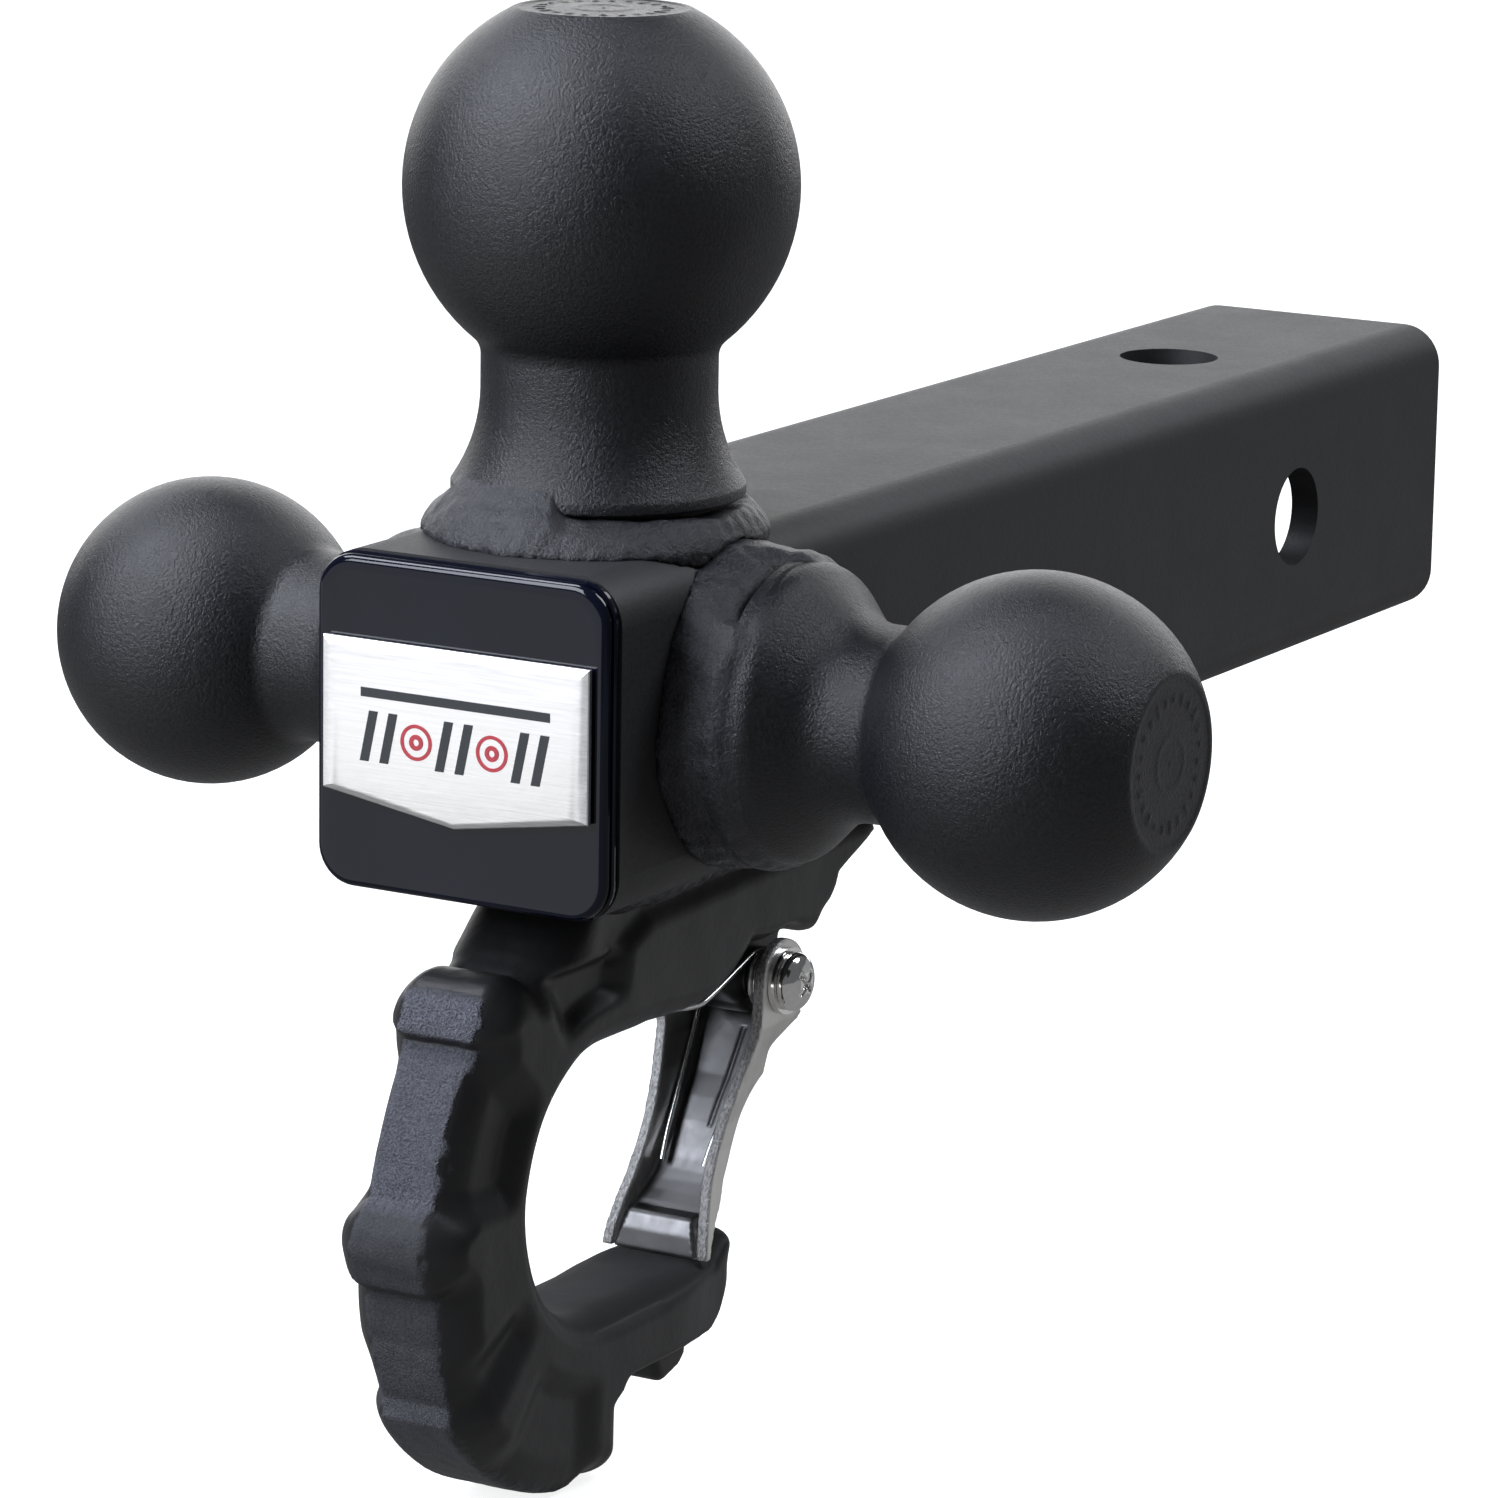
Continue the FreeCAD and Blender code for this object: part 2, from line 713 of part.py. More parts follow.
def latch_block(name, inset, half, waist, low):
    """The space inside one side view and one front view."""
    side = slab(name + "_side",
                upright_sketch(name + "_side_view", latch_side(inset), Placement(PIVOT, Rotation())),
                "latch_half + 2")
    front_sketch = doc.addObject("Sketcher::SketchObject", name + "_front_view")
    turn = Rotation(Vector(0, 1, 0), Vector(0, 0, 1), Vector(1, 0, 0), "ZXY")
    front_sketch.Placement = Placement(PIVOT, turn)
    outline(front_sketch, latch_front(half, waist, low))
    front = slab(name + "_front", front_sketch, "40")
    return common(name, [side, front])


def hook_latch():
    """Stamped channel: two cheeks on the pivot, a web and a lip that rests in the nose."""
    sheet_thick = size("latch_sheet")
    outside = latch_block("latch_outside", 0.0, size("latch_half"), size("latch_waist"), -45)
    inside = latch_block("latch_inside", sheet_thick, size("latch_half") - sheet_thick,
                         size("latch_waist") - sheet_thick, -45)
    clear = doc.addObject("Part::Box", "latch_top_clear")
    bind(clear, "Length", "4 * cheek_radius")
    bind(clear, "Width", "2 * ( latch_half - latch_sheet )")
    bind(clear, "Height", "3 * cheek_radius")
    clear.Placement = Placement(
        PIVOT + Vector(-2 * size("cheek_radius"), sheet_thick - size("latch_half"),
                       -size("cheek_radius")), Rotation())
    hole = cylinder("latch_pivot_hole", "sleeve_dia / 2 + pivot_play", "4 * latch_half",
                    along_y(PIVOT.x, -2 * size("latch_half"), PIVOT.z))
    inner = fuse("latch_hollow", [inside, clear, hole])
    node(cut("latch", outside, inner), "hook_latch")


# --- pivot and spring ----------------------------------------------------------------


def pivot_hardware():
    """Sleeve, screw, washers and nut on the latch's pivot."""
    long_sleeve = cylinder("sleeve_outside", "sleeve_dia / 2", "2 * sleeve_half",
                           along_y(PIVOT.x, -size("sleeve_half"), PIVOT.z))
    bore = cylinder("sleeve_bore", "screw_dia / 2 + pivot_play", "4 * sleeve_half",
                    along_y(PIVOT.x, -2 * size("sleeve_half"), PIVOT.z))
    node(cut("sleeve", long_sleeve, bore), "pivot_sleeve")

    seat = size("sleeve_half") + size("washer_thick")
    for label, low in (("right", -seat), ("left", size("sleeve_half"))):
        disc = cylinder("washer_disc_" + label, "washer_dia / 2", "washer_thick",
                        along_y(PIVOT.x, low, PIVOT.z))
        opening = cylinder("washer_bore_" + label, "screw_dia / 2 + 2 * pivot_play", "4 * sleeve_half",
                           along_y(PIVOT.x, -2 * size("sleeve_half"), PIVOT.z))
        node(cut("washer_" + label, disc, opening), "pivot_washer_" + label)

    pivot_screw(seat)

    nut = doc.addObject("Part::Prism", "nut_blank")
    nut.Polygon = 6
    bind(nut, "Circumradius", "nut_width / sqrt(3)")
    bind(nut, "Height", "nut_height")
    nut.Placement = along_y(PIVOT.x, seat, PIVOT.z)
    thread = cylinder("nut_bore", "screw_dia / 2", "2 * nut_height",
                      along_y(PIVOT.x, seat - 1, PIVOT.z))
    node(cut("nut", nut, thread), "pivot_lock_nut")


def pivot_screw(seat):
    """Pan-head screw with a cross recess, its axis along Y."""
    body = node(doc.addObject("PartDesign::Body", "screw"), "pivot_screw")
    sketch = body_sketch(body, "XZ_Plane", "screw_section")
    head = size("screw_head_dia") / 2
    shank = size("screw_dia") / 2
    tip = 2 * seat + size("nut_height") + size("screw_past_nut")
    bevel = size("screw_tip_bevel")
    outline(sketch, [
        (0, -size("screw_head")),
        ((0.62 * head, -0.9 * size("screw_head")), (head, -0.3 * size("screw_head"))),
        (head, 0), (shank, 0), (shank, tip - bevel), (shank - bevel, tip), (0, tip),
    ])
    turned = body.newObject("PartDesign::Revolution", "screw_turned")
    turned.Profile = sketch
    turned.ReferenceAxis = (sketch, ["V_Axis"])
    turned.Angle = 360
    cross = body_sketch(body, "XY_Plane", "screw_recess")
    arm = size("recess_arm")
    slot = size("recess_half")
    outline(cross, [
        (arm, -slot), (arm, slot), (slot, slot), (slot, arm), (-slot, arm), (-slot, slot),
        (-arm, slot), (-arm, -slot), (-slot, -slot), (-slot, -arm), (slot, -arm), (slot, -slot),
    ])
    cross.AttachmentOffset = Placement(Vector(0, 0, -size("screw_head")), Rotation())
    recess = body.newObject("PartDesign::Pocket", "screw_recess_cut")
    recess.Profile = cross
    bind(recess, "Length", "recess_depth")
    recess.Reversed = True
    body.Placement = along_y(PIVOT.x, -seat, PIVOT.z)
    return body


def coil():
    """The left coil: it starts over the sleeve's top and winds out towards the left cheek."""
    pitch = coil_pitch()
    radius = size("coil_radius")
    path = Part.Wire(Part.makeHelix(pitch, size("coil_turns") * pitch, radius).Edges)
    section = Part.Wire(Part.makeCircle(size("wire_dia") / 2, Vector(radius, 0, 0), Vector(0, 1, 0)))
    shape = path.makePipeShell([section], True, True)
    shape.rotate(Vector(0, 0, 0), Vector(0, 0, 1), -90)
    shape.Placement = along_y(0, coil_start(), 0).multiply(shape.Placement)
    return shape


def coil_pitch():
    """From one turn of the coil to the next."""
    return size("wire_dia") + size("coil_gap")


def coil_start():
    """Where the coil's first turn lies beside the hook's tongue."""
    return size("lug_half") + size("wire_dia") / 2 + 2 * size("coil_gap")


def wire(points):
    """A bent wire: straight runs with a ball at each bend."""
    radius = size("wire_dia") / 2
    pieces = [
        Part.makeCylinder(radius, (end - start).Length, start, end - start)
        for start, end in zip(points, points[1:])
    ]
    pieces += [Part.makeSphere(radius, point) for point in points[1:-1]]
    return pieces


def latch_spring():
    """Double torsion spring: two coils, a bridge under the hook's body, two legs on the web."""
    radius = size("coil_radius")
    near = coil_start()
    far = near + size("coil_turns") * coil_pitch()
    leg = [(radius, far, 0), (3.9, far, -3.5), (-1.2, 6.0, -9), (-7.4, 4.9, -17.5),
           (-11.6, 4.2, -23), (-13.9, 3.8, -27.8)]
    arm = [(0, near, radius), (-6.3, near, 2.8), (-15.3, near, 0), (-19.2, near, -0.5),
           (-25.6, near, 0.3), (-26.2, near - 1, 0.3), (-26.2, 0, 0.3)]
    half = [coil()]
    for run in (leg, arm):
        half += wire([Vector(*point) for point in run])
    mirrored = [piece.mirror(Vector(0, 0, 0), Vector(0, 1, 0)) for piece in half]
    item = doc.addObject("Part::Feature", "spring")
    item.Shape = half[0].multiFuse(half[1:] + mirrored)
    item.Placement = Placement(PIVOT, Rotation())
    node(item, "latch_spring")


# --- build, check and write ----------------------------------------------------------


def check():
    """Stop on any failed object or any sub-part that is not one valid solid."""
    failed = [item.Label for item in doc.Objects if {"Invalid", "Error"} & set(item.State)]
    if failed:
        raise RuntimeError("failed: " + ", ".join(failed))
    for item in NODES:
        shape = item.Shape
        if shape.isNull() or not shape.isValid() or len(shape.Solids) != 1:
            raise RuntimeError("%s: not one valid solid (%d)" % (item.Label, len(shape.Solids)))
        print("%-20s %9.0f mm3" % (item.Label, shape.Volume))


receiver_shank()
end_cap()
badge_tape()
badge_plate()
balls()
ball_welds(shank_envelope())
hook_welds()
tow_hook()
hook_latch()
pivot_hardware()
latch_spring()
doc.recompute()
check()
os.makedirs("parts", exist_ok=True)
for item in NODES:
    item.Shape.exportStep("parts/%s.step" % item.Label)
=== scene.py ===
"""Looks of the triple-ball hitch: materials, the forged and bent pieces, lights and camera.

Everything is in metres, in the frame's axes: +X to the vehicle, +Y left, +Z up.
"""
import math

import bpy
import numpy as np
import openvdb
from mathutils import Matrix, Vector


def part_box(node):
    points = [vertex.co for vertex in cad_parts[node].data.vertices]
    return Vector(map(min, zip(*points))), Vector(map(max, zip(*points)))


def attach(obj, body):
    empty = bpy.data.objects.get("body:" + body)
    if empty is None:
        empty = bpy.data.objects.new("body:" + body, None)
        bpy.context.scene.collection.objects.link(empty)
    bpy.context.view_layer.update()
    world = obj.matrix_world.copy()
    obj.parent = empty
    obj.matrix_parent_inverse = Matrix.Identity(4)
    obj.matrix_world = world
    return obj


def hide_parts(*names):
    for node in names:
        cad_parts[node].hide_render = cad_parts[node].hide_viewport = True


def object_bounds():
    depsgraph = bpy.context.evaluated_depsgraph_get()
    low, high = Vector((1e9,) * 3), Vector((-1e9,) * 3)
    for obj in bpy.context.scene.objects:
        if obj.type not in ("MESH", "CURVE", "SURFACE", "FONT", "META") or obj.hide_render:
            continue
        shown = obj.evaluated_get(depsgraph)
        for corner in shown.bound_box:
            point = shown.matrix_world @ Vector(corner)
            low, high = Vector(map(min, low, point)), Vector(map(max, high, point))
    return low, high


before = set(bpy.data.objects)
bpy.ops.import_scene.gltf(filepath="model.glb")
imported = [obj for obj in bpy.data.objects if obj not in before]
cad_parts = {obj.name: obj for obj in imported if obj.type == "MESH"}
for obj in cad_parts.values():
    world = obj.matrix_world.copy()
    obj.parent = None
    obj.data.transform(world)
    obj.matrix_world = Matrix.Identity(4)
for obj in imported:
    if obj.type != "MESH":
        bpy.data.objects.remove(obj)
CAD_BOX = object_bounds()
MM = 0.001

# --- camera ---

CAMERA_PLACE = Vector((-1.0116, -0.5019, 0.2094))
CAMERA_YAW = math.radians(30.02)
CAMERA_PITCH = math.radians(12.74)
CAMERA_ROLL = math.radians(0.93)
CAMERA_LENS = 158.3
SENSOR_WIDTH = 36.0


def make_camera():
    """A long lens in front of the balls, to their right and a little above them."""
    ahead = Vector((math.cos(CAMERA_PITCH) * math.cos(CAMERA_YAW),
                    math.cos(CAMERA_PITCH) * math.sin(CAMERA_YAW),
                    -math.sin(CAMERA_PITCH)))
    level = ahead.cross(Vector((0, 0, 1))).normalized()
    above = level.cross(ahead)
    right = math.cos(CAMERA_ROLL) * level + math.sin(CAMERA_ROLL) * above
    up = math.cos(CAMERA_ROLL) * above - math.sin(CAMERA_ROLL) * level
    data = bpy.data.cameras.new("camera")
    data.lens = CAMERA_LENS
    data.sensor_width = SENSOR_WIDTH
    data.clip_end = 50
    camera = bpy.data.objects.new("camera", data)
    turn = Matrix((right, up, -ahead)).transposed().to_4x4()
    camera.matrix_world = Matrix.Translation(CAMERA_PLACE) @ turn
    bpy.context.scene.collection.objects.link(camera)
    bpy.context.scene.camera = camera
    return right, up, ahead


SCREEN_RIGHT, SCREEN_UP, SCREEN_AHEAD = make_camera()


# --- studio ---

CENTRE = Vector((-0.12, 0, 0))
FLOOR = CAD_BOX[0][2]
FLOOR_HALF = 12.0
COOL_WHITE = (0.86, 0.90, 1.0)


def area_light(name, width, height, power, colour):
    """A rectangular light at the origin, not yet turned."""
    data = bpy.data.lights.new(name, "AREA")
    data.shape = "RECTANGLE"
    data.size = width
    data.size_y = height
    data.energy = power
    data.color = colour
    lamp = bpy.data.objects.new(name, data)
    bpy.context.scene.collection.objects.link(lamp)
    return lamp


def softbox(name, direction, distance, width, height, power, colour):
    """An area light that faces the object from a direction given on the screen's axes."""
    right, up, near = direction
    way = (right * SCREEN_RIGHT + up * SCREEN_UP - near * SCREEN_AHEAD).normalized()
    lamp = area_light(name, width, height, power, colour)
    lamp.location = CENTRE + way * distance
    lamp.rotation_euler = (-way).to_track_quat("-Z", "Y").to_euler()


def floor_card(name, centre, length, width, brightness):
    """A bright patch of the table, seen only in the object's reflections."""
    card = area_light(name, length, width, brightness * math.pi * length * width, (1, 1, 1))
    card.location = (*centre, FLOOR + MM)
    card.rotation_euler = (math.pi, 0, 0)
    card.visible_camera = False


def make_floor():
    """A pale, faintly glowing floor that the object's surfaces don't reflect."""
    mesh = bpy.data.meshes.new("floor")
    corners = [(x * FLOOR_HALF, y * FLOOR_HALF, FLOOR)
               for x, y in ((-1, -1), (1, -1), (1, 1), (-1, 1))]
    mesh.from_pydata(corners, [], [(0, 1, 2, 3)])
    floor = bpy.data.objects.new("floor", mesh)
    floor.visible_glossy = False
    floor.visible_diffuse = False
    bpy.context.scene.collection.objects.link(floor)
    material = bpy.data.materials.new("floor_pale")
    material.use_nodes = True
    shader = material.node_tree.nodes["Principled BSDF"]
    shader.inputs["Base Color"].default_value = (0.45, 0.45, 0.45, 1)
    shader.inputs["Emission Color"].default_value = (1, 1, 1, 1)
    shader.inputs["Emission Strength"].default_value = 0.85
    shader.inputs["Roughness"].default_value = 0.9
    shader.inputs["Specular IOR Level"].default_value = 0.1
    mesh.materials.append(material)


def make_studio():
    """A dim sky, five softboxes, two patches of bright table for reflections, and the floor."""
    scene = bpy.context.scene
    scene.view_settings.view_transform = "Standard"
    world = bpy.data.worlds.new("studio")
    scene.world = world
    world.use_nodes = True
    sky = world.node_tree.nodes["Background"]
    sky.inputs["Color"].default_value = (0.93, 0.95, 1.0, 1)
    sky.inputs["Strength"].default_value = 0.12
    softbox("key_left", (-0.50, 0.82, 0.06), 1.3, 0.45, 0.75, 14.5, COOL_WHITE)
    softbox("tall_left", (-0.71, 0.40, 0.56), 1.5, 0.58, 1.0, 24, COOL_WHITE)
    softbox("key_right", (0.62, 0.70, 0.0), 1.5, 0.45, 0.8, 10.5, (0.90, 0.93, 1.0))
    softbox("back_wall", (0.0, 0.45, -1.0), 2.6, 3.5, 1.2, 27, (1, 1, 1))
    softbox("right_wall", (0.85, -0.02, -0.52), 2.0, 1.6, 1.2, 1.1, (0.97, 0.98, 1.0))
    floor_card("table_left", (-1.57, 0.84), 2.36, 1.54, 0.98)
    floor_card("table_near", (-0.15, -0.15), 1.3, 1.2, 0.14)
    make_floor()


make_studio()


# --- materials ---


def new_material(name):
    """A material, its node tree and its shader."""
    material = bpy.data.materials.new(name)
    material.use_nodes = True
    tree = material.node_tree
    return material, tree, tree.nodes["Principled BSDF"]


def node(tree, kind, **values):
    """A shader node; values with a capital set its sockets, the others its properties."""
    made = tree.nodes.new(kind)
    for key, value in values.items():
        if key[0].isupper():
            made.inputs[key.replace("_", " ")].default_value = value
        else:
            setattr(made, key, value)
    return made


def feed(tree, target, **sources):
    """Links each source to the target's socket of that name, written with _ for a space."""
    for key, source in sources.items():
        tree.links.new(source, target.inputs[key.replace("_", " ")])


def noise(tree, scale, detail, roughness, stretch=(1, 1, 1)):
    """A noise in the object's own metres; stretch scales its axes."""
    place = node(tree, "ShaderNodeTexCoord")
    scaled = node(tree, "ShaderNodeMapping", Scale=stretch)
    texture = node(tree, "ShaderNodeTexNoise", Scale=scale, Detail=detail, Roughness=roughness)
    feed(tree, scaled, Vector=place.outputs["Object"])
    feed(tree, texture, Vector=scaled.outputs["Vector"])
    return texture.outputs["Fac"]


def remap(tree, source, low, high, from_low=0.3, from_high=0.7):
    """A value spread to run from low to high."""
    ramp = node(tree, "ShaderNodeMapRange", From_Min=from_low, From_Max=from_high, To_Min=low,
                To_Max=high)
    feed(tree, ramp, Value=source)
    return ramp.outputs["Result"]


def bump(tree, shader, height, strength, distance, below=None):
    """Adds a bump to the shader's normal, on top of an earlier one."""
    made = node(tree, "ShaderNodeBump", Strength=strength, Distance=distance)
    feed(tree, made, Height=height)
    if below is not None:
        feed(tree, made, Normal=below)
    feed(tree, shader, Normal=made.outputs["Normal"])
    return made.outputs["Normal"]


def combined(tree, operation, first, second):
    """Two values put together by a math operation."""
    made = node(tree, "ShaderNodeMath", operation=operation)
    tree.links.new(first, made.inputs[0])
    tree.links.new(second, made.inputs[1])
    return made.outputs["Value"]


def colour_between(tree, factor, first, second):
    """A mix of two colours by a factor; each is a plain colour or another node's output."""
    mix = node(tree, "ShaderNodeMix", data_type="RGBA")
    for key, colour in (("A", first), ("B", second)):
        if isinstance(colour, tuple):
            mix.inputs[key].default_value = (*colour, 1)
        else:
            feed(tree, mix, **{key: colour})
    feed(tree, mix, Factor=factor)
    return mix.outputs["Result"]


def attribute(tree, name):
    """A value that a mesh carries on its points."""
    return node(tree, "ShaderNodeAttribute", attribute_name=name).outputs["Fac"]


def powder_coat(name, dark, light, roughness, grain, peel):
    """Black powder coat: sparkling grain, a soft orange peel and slightly uneven gloss."""
    material, tree, shader = new_material(name)
    patches = noise(tree, 90, 3, 0.55)
    specks = noise(tree, 1800, 3, 0.75)
    gloss = combined(tree, "ADD", remap(tree, patches, -0.02, 0.02),
                     remap(tree, specks, roughness - 0.06, roughness + 0.06))
    colour = colour_between(tree, remap(tree, specks, 0, 1), dark, light)
    feed(tree, shader, Base_Color=colour, Roughness=gloss)
    waves = bump(tree, shader, noise(tree, 620, 2, 0.5), peel, 0.0008)
    bump(tree, shader, specks, grain, 0.0005, waves)
    return material


def forging_coat(name):
    """Thin satin coat on the forging: rough and pale on its trimmed strip, the paleness partly the
    strip's own tone and partly painted highlight; matt on its seat.
    """
    material, tree, shader = new_material(name)
    strip = attribute(tree, "strip")
    grain = noise(tree, 2600, 3, 0.7)
    # The strip's pale, bluish colour: partly the trimmed surface's own tone, partly painted
    # highlight for light falling on the back.
    pale = colour_between(tree, remap(tree, grain, 0, 1), (0.034, 0.035, 0.042), (0.23, 0.24, 0.29))
    colour = colour_between(tree, strip, (0.014, 0.014, 0.0148), pale)
    satin = remap(tree, strip, 0.42, 0.55, 0, 1)
    matt = remap(tree, attribute(tree, "seat"), 0.42, 0.88, 0, 1)
    feed(tree, shader, Base_Color=colour, Roughness=combined(tree, "MAXIMUM", satin, matt))
    soft = bump(tree, shader, noise(tree, 160, 3, 0.5), 0.10, 0.002)
    fine = bump(tree, shader, noise(tree, 1400, 2, 0.6), 0.06, 0.0005, soft)
    bump(tree, shader, combined(tree, "MULTIPLY", grain, strip), 1.0, 0.0011, fine)
    return material


def steel(name, colour, roughness, spread, stretch, scale):
    """Bare metal with uneven gloss; a stretch turns the unevenness into rolling lines."""
    material, tree, shader = new_material(name)
    shader.inputs["Metallic"].default_value = 1.0
    grain = noise(tree, scale, 3, 0.6, stretch)
    darker = tuple(0.86 * part for part in colour)
    mottled = colour_between(tree, remap(tree, grain, 0, 1), darker, colour)
    feed(tree, shader, Base_Color=mottled,
         Roughness=remap(tree, grain, roughness, roughness + spread))
    soft = bump(tree, shader, noise(tree, 170, 2, 0.5), 0.10, 0.001)
    bump(tree, shader, grain, 0.10, 0.0003, soft)
    return material


def latch_steel(name):
    """Rolled stainless, with painted shade darkening the inside of the channel; its sheared edges
    are torn into short upright streaks.
    """
    material = steel(name, (0.86, 0.85, 0.82), 0.34, 0.12, (1, 1, 0.35), 420)
    tree = material.node_tree
    shader = tree.nodes["Principled BSDF"]
    rolled, gloss, waves = (shader.inputs[key].links[0].from_socket
                            for key in ("Base Color", "Roughness", "Normal"))
    # Painted shade: the base colour drops to a flat dark grey (0.12) on the channel's inside faces,
    # standing in for the shade there.
    painted_shade_colour = colour_between(tree, attribute(tree, "inside"), rolled, (0.12, 0.12, 0.121))
    sheared = attribute(tree, "sheared")
    torn = noise(tree, 2600, 3, 0.7, (0.6, 1, 0.6))
    streaks = colour_between(tree, remap(tree, torn, 0, 1), (0.16, 0.16, 0.16), (0.62, 0.62, 0.61))
    rough = node(tree, "ShaderNodeMix", data_type="FLOAT", B=0.55)
    feed(tree, rough, Factor=sheared, A=gloss)
    feed(tree, shader, Base_Color=colour_between(tree, sheared, painted_shade_colour, streaks),
         Roughness=rough.outputs["Result"])
    bump(tree, shader, combined(tree, "MULTIPLY", torn, sheared), 0.8, 0.0004, waves)
    return material


def cap_plastic(name):
    """Moulded black plastic: glossy, with faint flow marks."""
    material, tree, shader = new_material(name)
    shader.inputs["Specular IOR Level"].default_value = 0.29
    flow = noise(tree, 60, 3, 0.5)
    colour = colour_between(tree, remap(tree, flow, 0, 1), (0.002, 0.003, 0.009),
                            (0.003, 0.005, 0.013))
    feed(tree, shader, Base_Color=colour, Roughness=remap(tree, flow, 0.06, 0.09))
    bump(tree, shader, noise(tree, 1500, 2, 0.5), 0.012, 0.0003)
    return material


def enamel(name, colour, roughness):
    """Enamel or rubber: nearly smooth, slightly mottled."""
    material, tree, shader = new_material(name)
    mottle = noise(tree, 900, 2, 0.5)
    darker = tuple(0.8 * part for part in colour)
    mottled = colour_between(tree, remap(tree, mottle, 0, 1), darker, colour)
    feed(tree, shader, Base_Color=mottled,
         Roughness=remap(tree, mottle, roughness, roughness + 0.1))
    bump(tree, shader, mottle, 0.05, 0.0003)
    return material


SHANK_COAT = powder_coat("shank_coat", (0.018, 0.0181, 0.019), (0.027, 0.0272, 0.029),
                         0.54, 0.12, 0.06)
BALL_COAT = powder_coat("ball_coat", (0.003, 0.003, 0.004), (0.015, 0.0153, 0.019),
                        0.33, 0.55, 0.05)
WELD_COAT = powder_coat("weld_coat", (0.006, 0.006, 0.008), (0.036, 0.0365, 0.044),
                        0.40, 0.65, 0.25)
HOOK_COAT = forging_coat("forging_coat")
LATCH_STEEL = latch_steel("latch_steel")
HARDWARE_STEEL = steel("hardware_steel", (0.93, 0.92, 0.90), 0.08, 0.06, (1, 1, 1), 500)
SPRING_STEEL = steel("spring_steel", (0.78, 0.78, 0.77), 0.18, 0.08, (1, 1, 1), 700)
BADGE_METAL = steel("badge_metal", (1.0, 1.0, 1.0), 0.30, 0.14, (1, 0.03, 1), 2600)
CAP_PLASTIC = cap_plastic("cap_plastic")
DARK_ENAMEL = enamel("enamel_dark", (0.03, 0.035, 0.04), 0.35)
RED_ENAMEL = enamel("enamel_red", (0.55, 0.05, 0.07), 0.35)
TAPE_FOAM = enamel("tape_foam", (0.05, 0.05, 0.05), 0.7)


# --- solids from distance fields ---


def smooth_step(value):
    """0 below 0 and 1 above 1, with a soft rise between."""
    held = np.clip(value, 0, 1)
    return held * held * (3 - 2 * held)


def round_max(first, second, radius):
    """Where two solids overlap, with the edge between their faces rounded to a radius."""
    one, other = first + radius, second + radius
    outside = np.hypot(np.maximum(one, 0), np.maximum(other, 0))
    return np.minimum(np.maximum(one, other), 0) + outside - radius


def round_min(first, second, radius):
    """Two solids joined, with a fillet in the corner between them."""
    return -round_max(-first, -second, radius)


def arc_points(start, through, end, turn=4.0):
    """Points along the arc from start through a point to end, one per turn, without the start."""
    a, b, c = (complex(*point) for point in (start, through, end))
    ratio = (c - a) / (b - a)
    centre = a + (b - a) * (ratio - abs(ratio) ** 2) / (2j * ratio.imag)
    spoke = a - centre
    sweep = math.atan2(((c - centre) / spoke).imag, ((c - centre) / spoke).real)
    halfway = math.atan2(((b - centre) / spoke).imag, ((b - centre) / spoke).real)
    if halfway * sweep < 0 or abs(halfway) > abs(sweep):
        sweep -= math.copysign(2 * math.pi, sweep)
    count = max(3, math.ceil(abs(math.degrees(sweep)) / turn))
    turns = [centre + spoke * complex(math.cos(sweep * k / count), math.sin(sweep * k / count))
             for k in range(1, count + 1)]
    return [(point.real, point.imag) for point in turns]


def trace(steps):
    """An outline's points. A step is a point, or a pair: a point passed by an arc, and its end."""
    points = []
    for step in steps:
        if isinstance(step[0], tuple):
            points += arc_points(points[-1], step[0], step[1])
        else:
            points.append(step)
    return points


def line_distance(points, x, z):
    """Distance to a chain of points over a grid."""
    nearest = np.full(np.broadcast(x, z).shape, 1e9)
    for (ax, az), (bx, bz) in zip(points, points[1:]):
        dx, dz = bx - ax, bz - az
        along = np.clip(((x - ax) * dx + (z - az) * dz) / (dx * dx + dz * dz + 1e-12), 0, 1)
        nearest = np.minimum(nearest, (x - ax - along * dx) ** 2 + (z - az - along * dz) ** 2)
    return np.sqrt(nearest)


def outline_distance(points, x, z):
    """Signed distance to a closed outline over a grid, negative inside."""
    inside = np.zeros(np.broadcast(x, z).shape, bool)
    closed = points + points[:1]
    for (ax, az), (bx, bz) in zip(closed, closed[1:]):
        if az != bz:
            crosses = (az > z) != (bz > z)
            inside ^= crosses & (x < ax + (z - az) / (bz - az) * (bx - ax))
    return np.where(inside, -1, 1) * line_distance(closed, x, z)


def lattice(low, high, step):
    """Grid coordinates in millimetres along X, Y and Z, ready to broadcast."""
    axes = [np.arange(a, b + step, step) for a, b in zip(low, high)]
    return axes[0][:, None, None], axes[1][None, :, None], axes[2][None, None, :]


def lumps(x, y, z, size, seed):
    """Smooth random lumps between about -1 and 1, made of a few crossed waves."""
    draw = np.random.default_rng(seed)
    total = 0
    for _ in range(7):
        way = draw.normal(size=3)
        way *= 2 * math.pi / (size * draw.uniform(0.7, 1.5) * np.linalg.norm(way))
        total = total + np.sin(x * way[0] + y * way[1] + z * way[2] + draw.uniform(0, 2 * math.pi))
    return total / 3.2


def mesh_object(name, vertices, faces, material, crease=60):
    """An object from points in metres; edges that bend more than the crease look sharp."""
    mesh = bpy.data.meshes.new(name)
    mesh.from_pydata([tuple(v) for v in vertices], [], [tuple(f) for f in faces])
    mesh.validate()
    mesh.update()
    mesh.shade_smooth()
    mesh.set_sharp_from_angle(angle=math.radians(crease))
    mesh.materials.append(material)
    item = bpy.data.objects.new(name, mesh)
    bpy.context.scene.collection.objects.link(item)
    return item


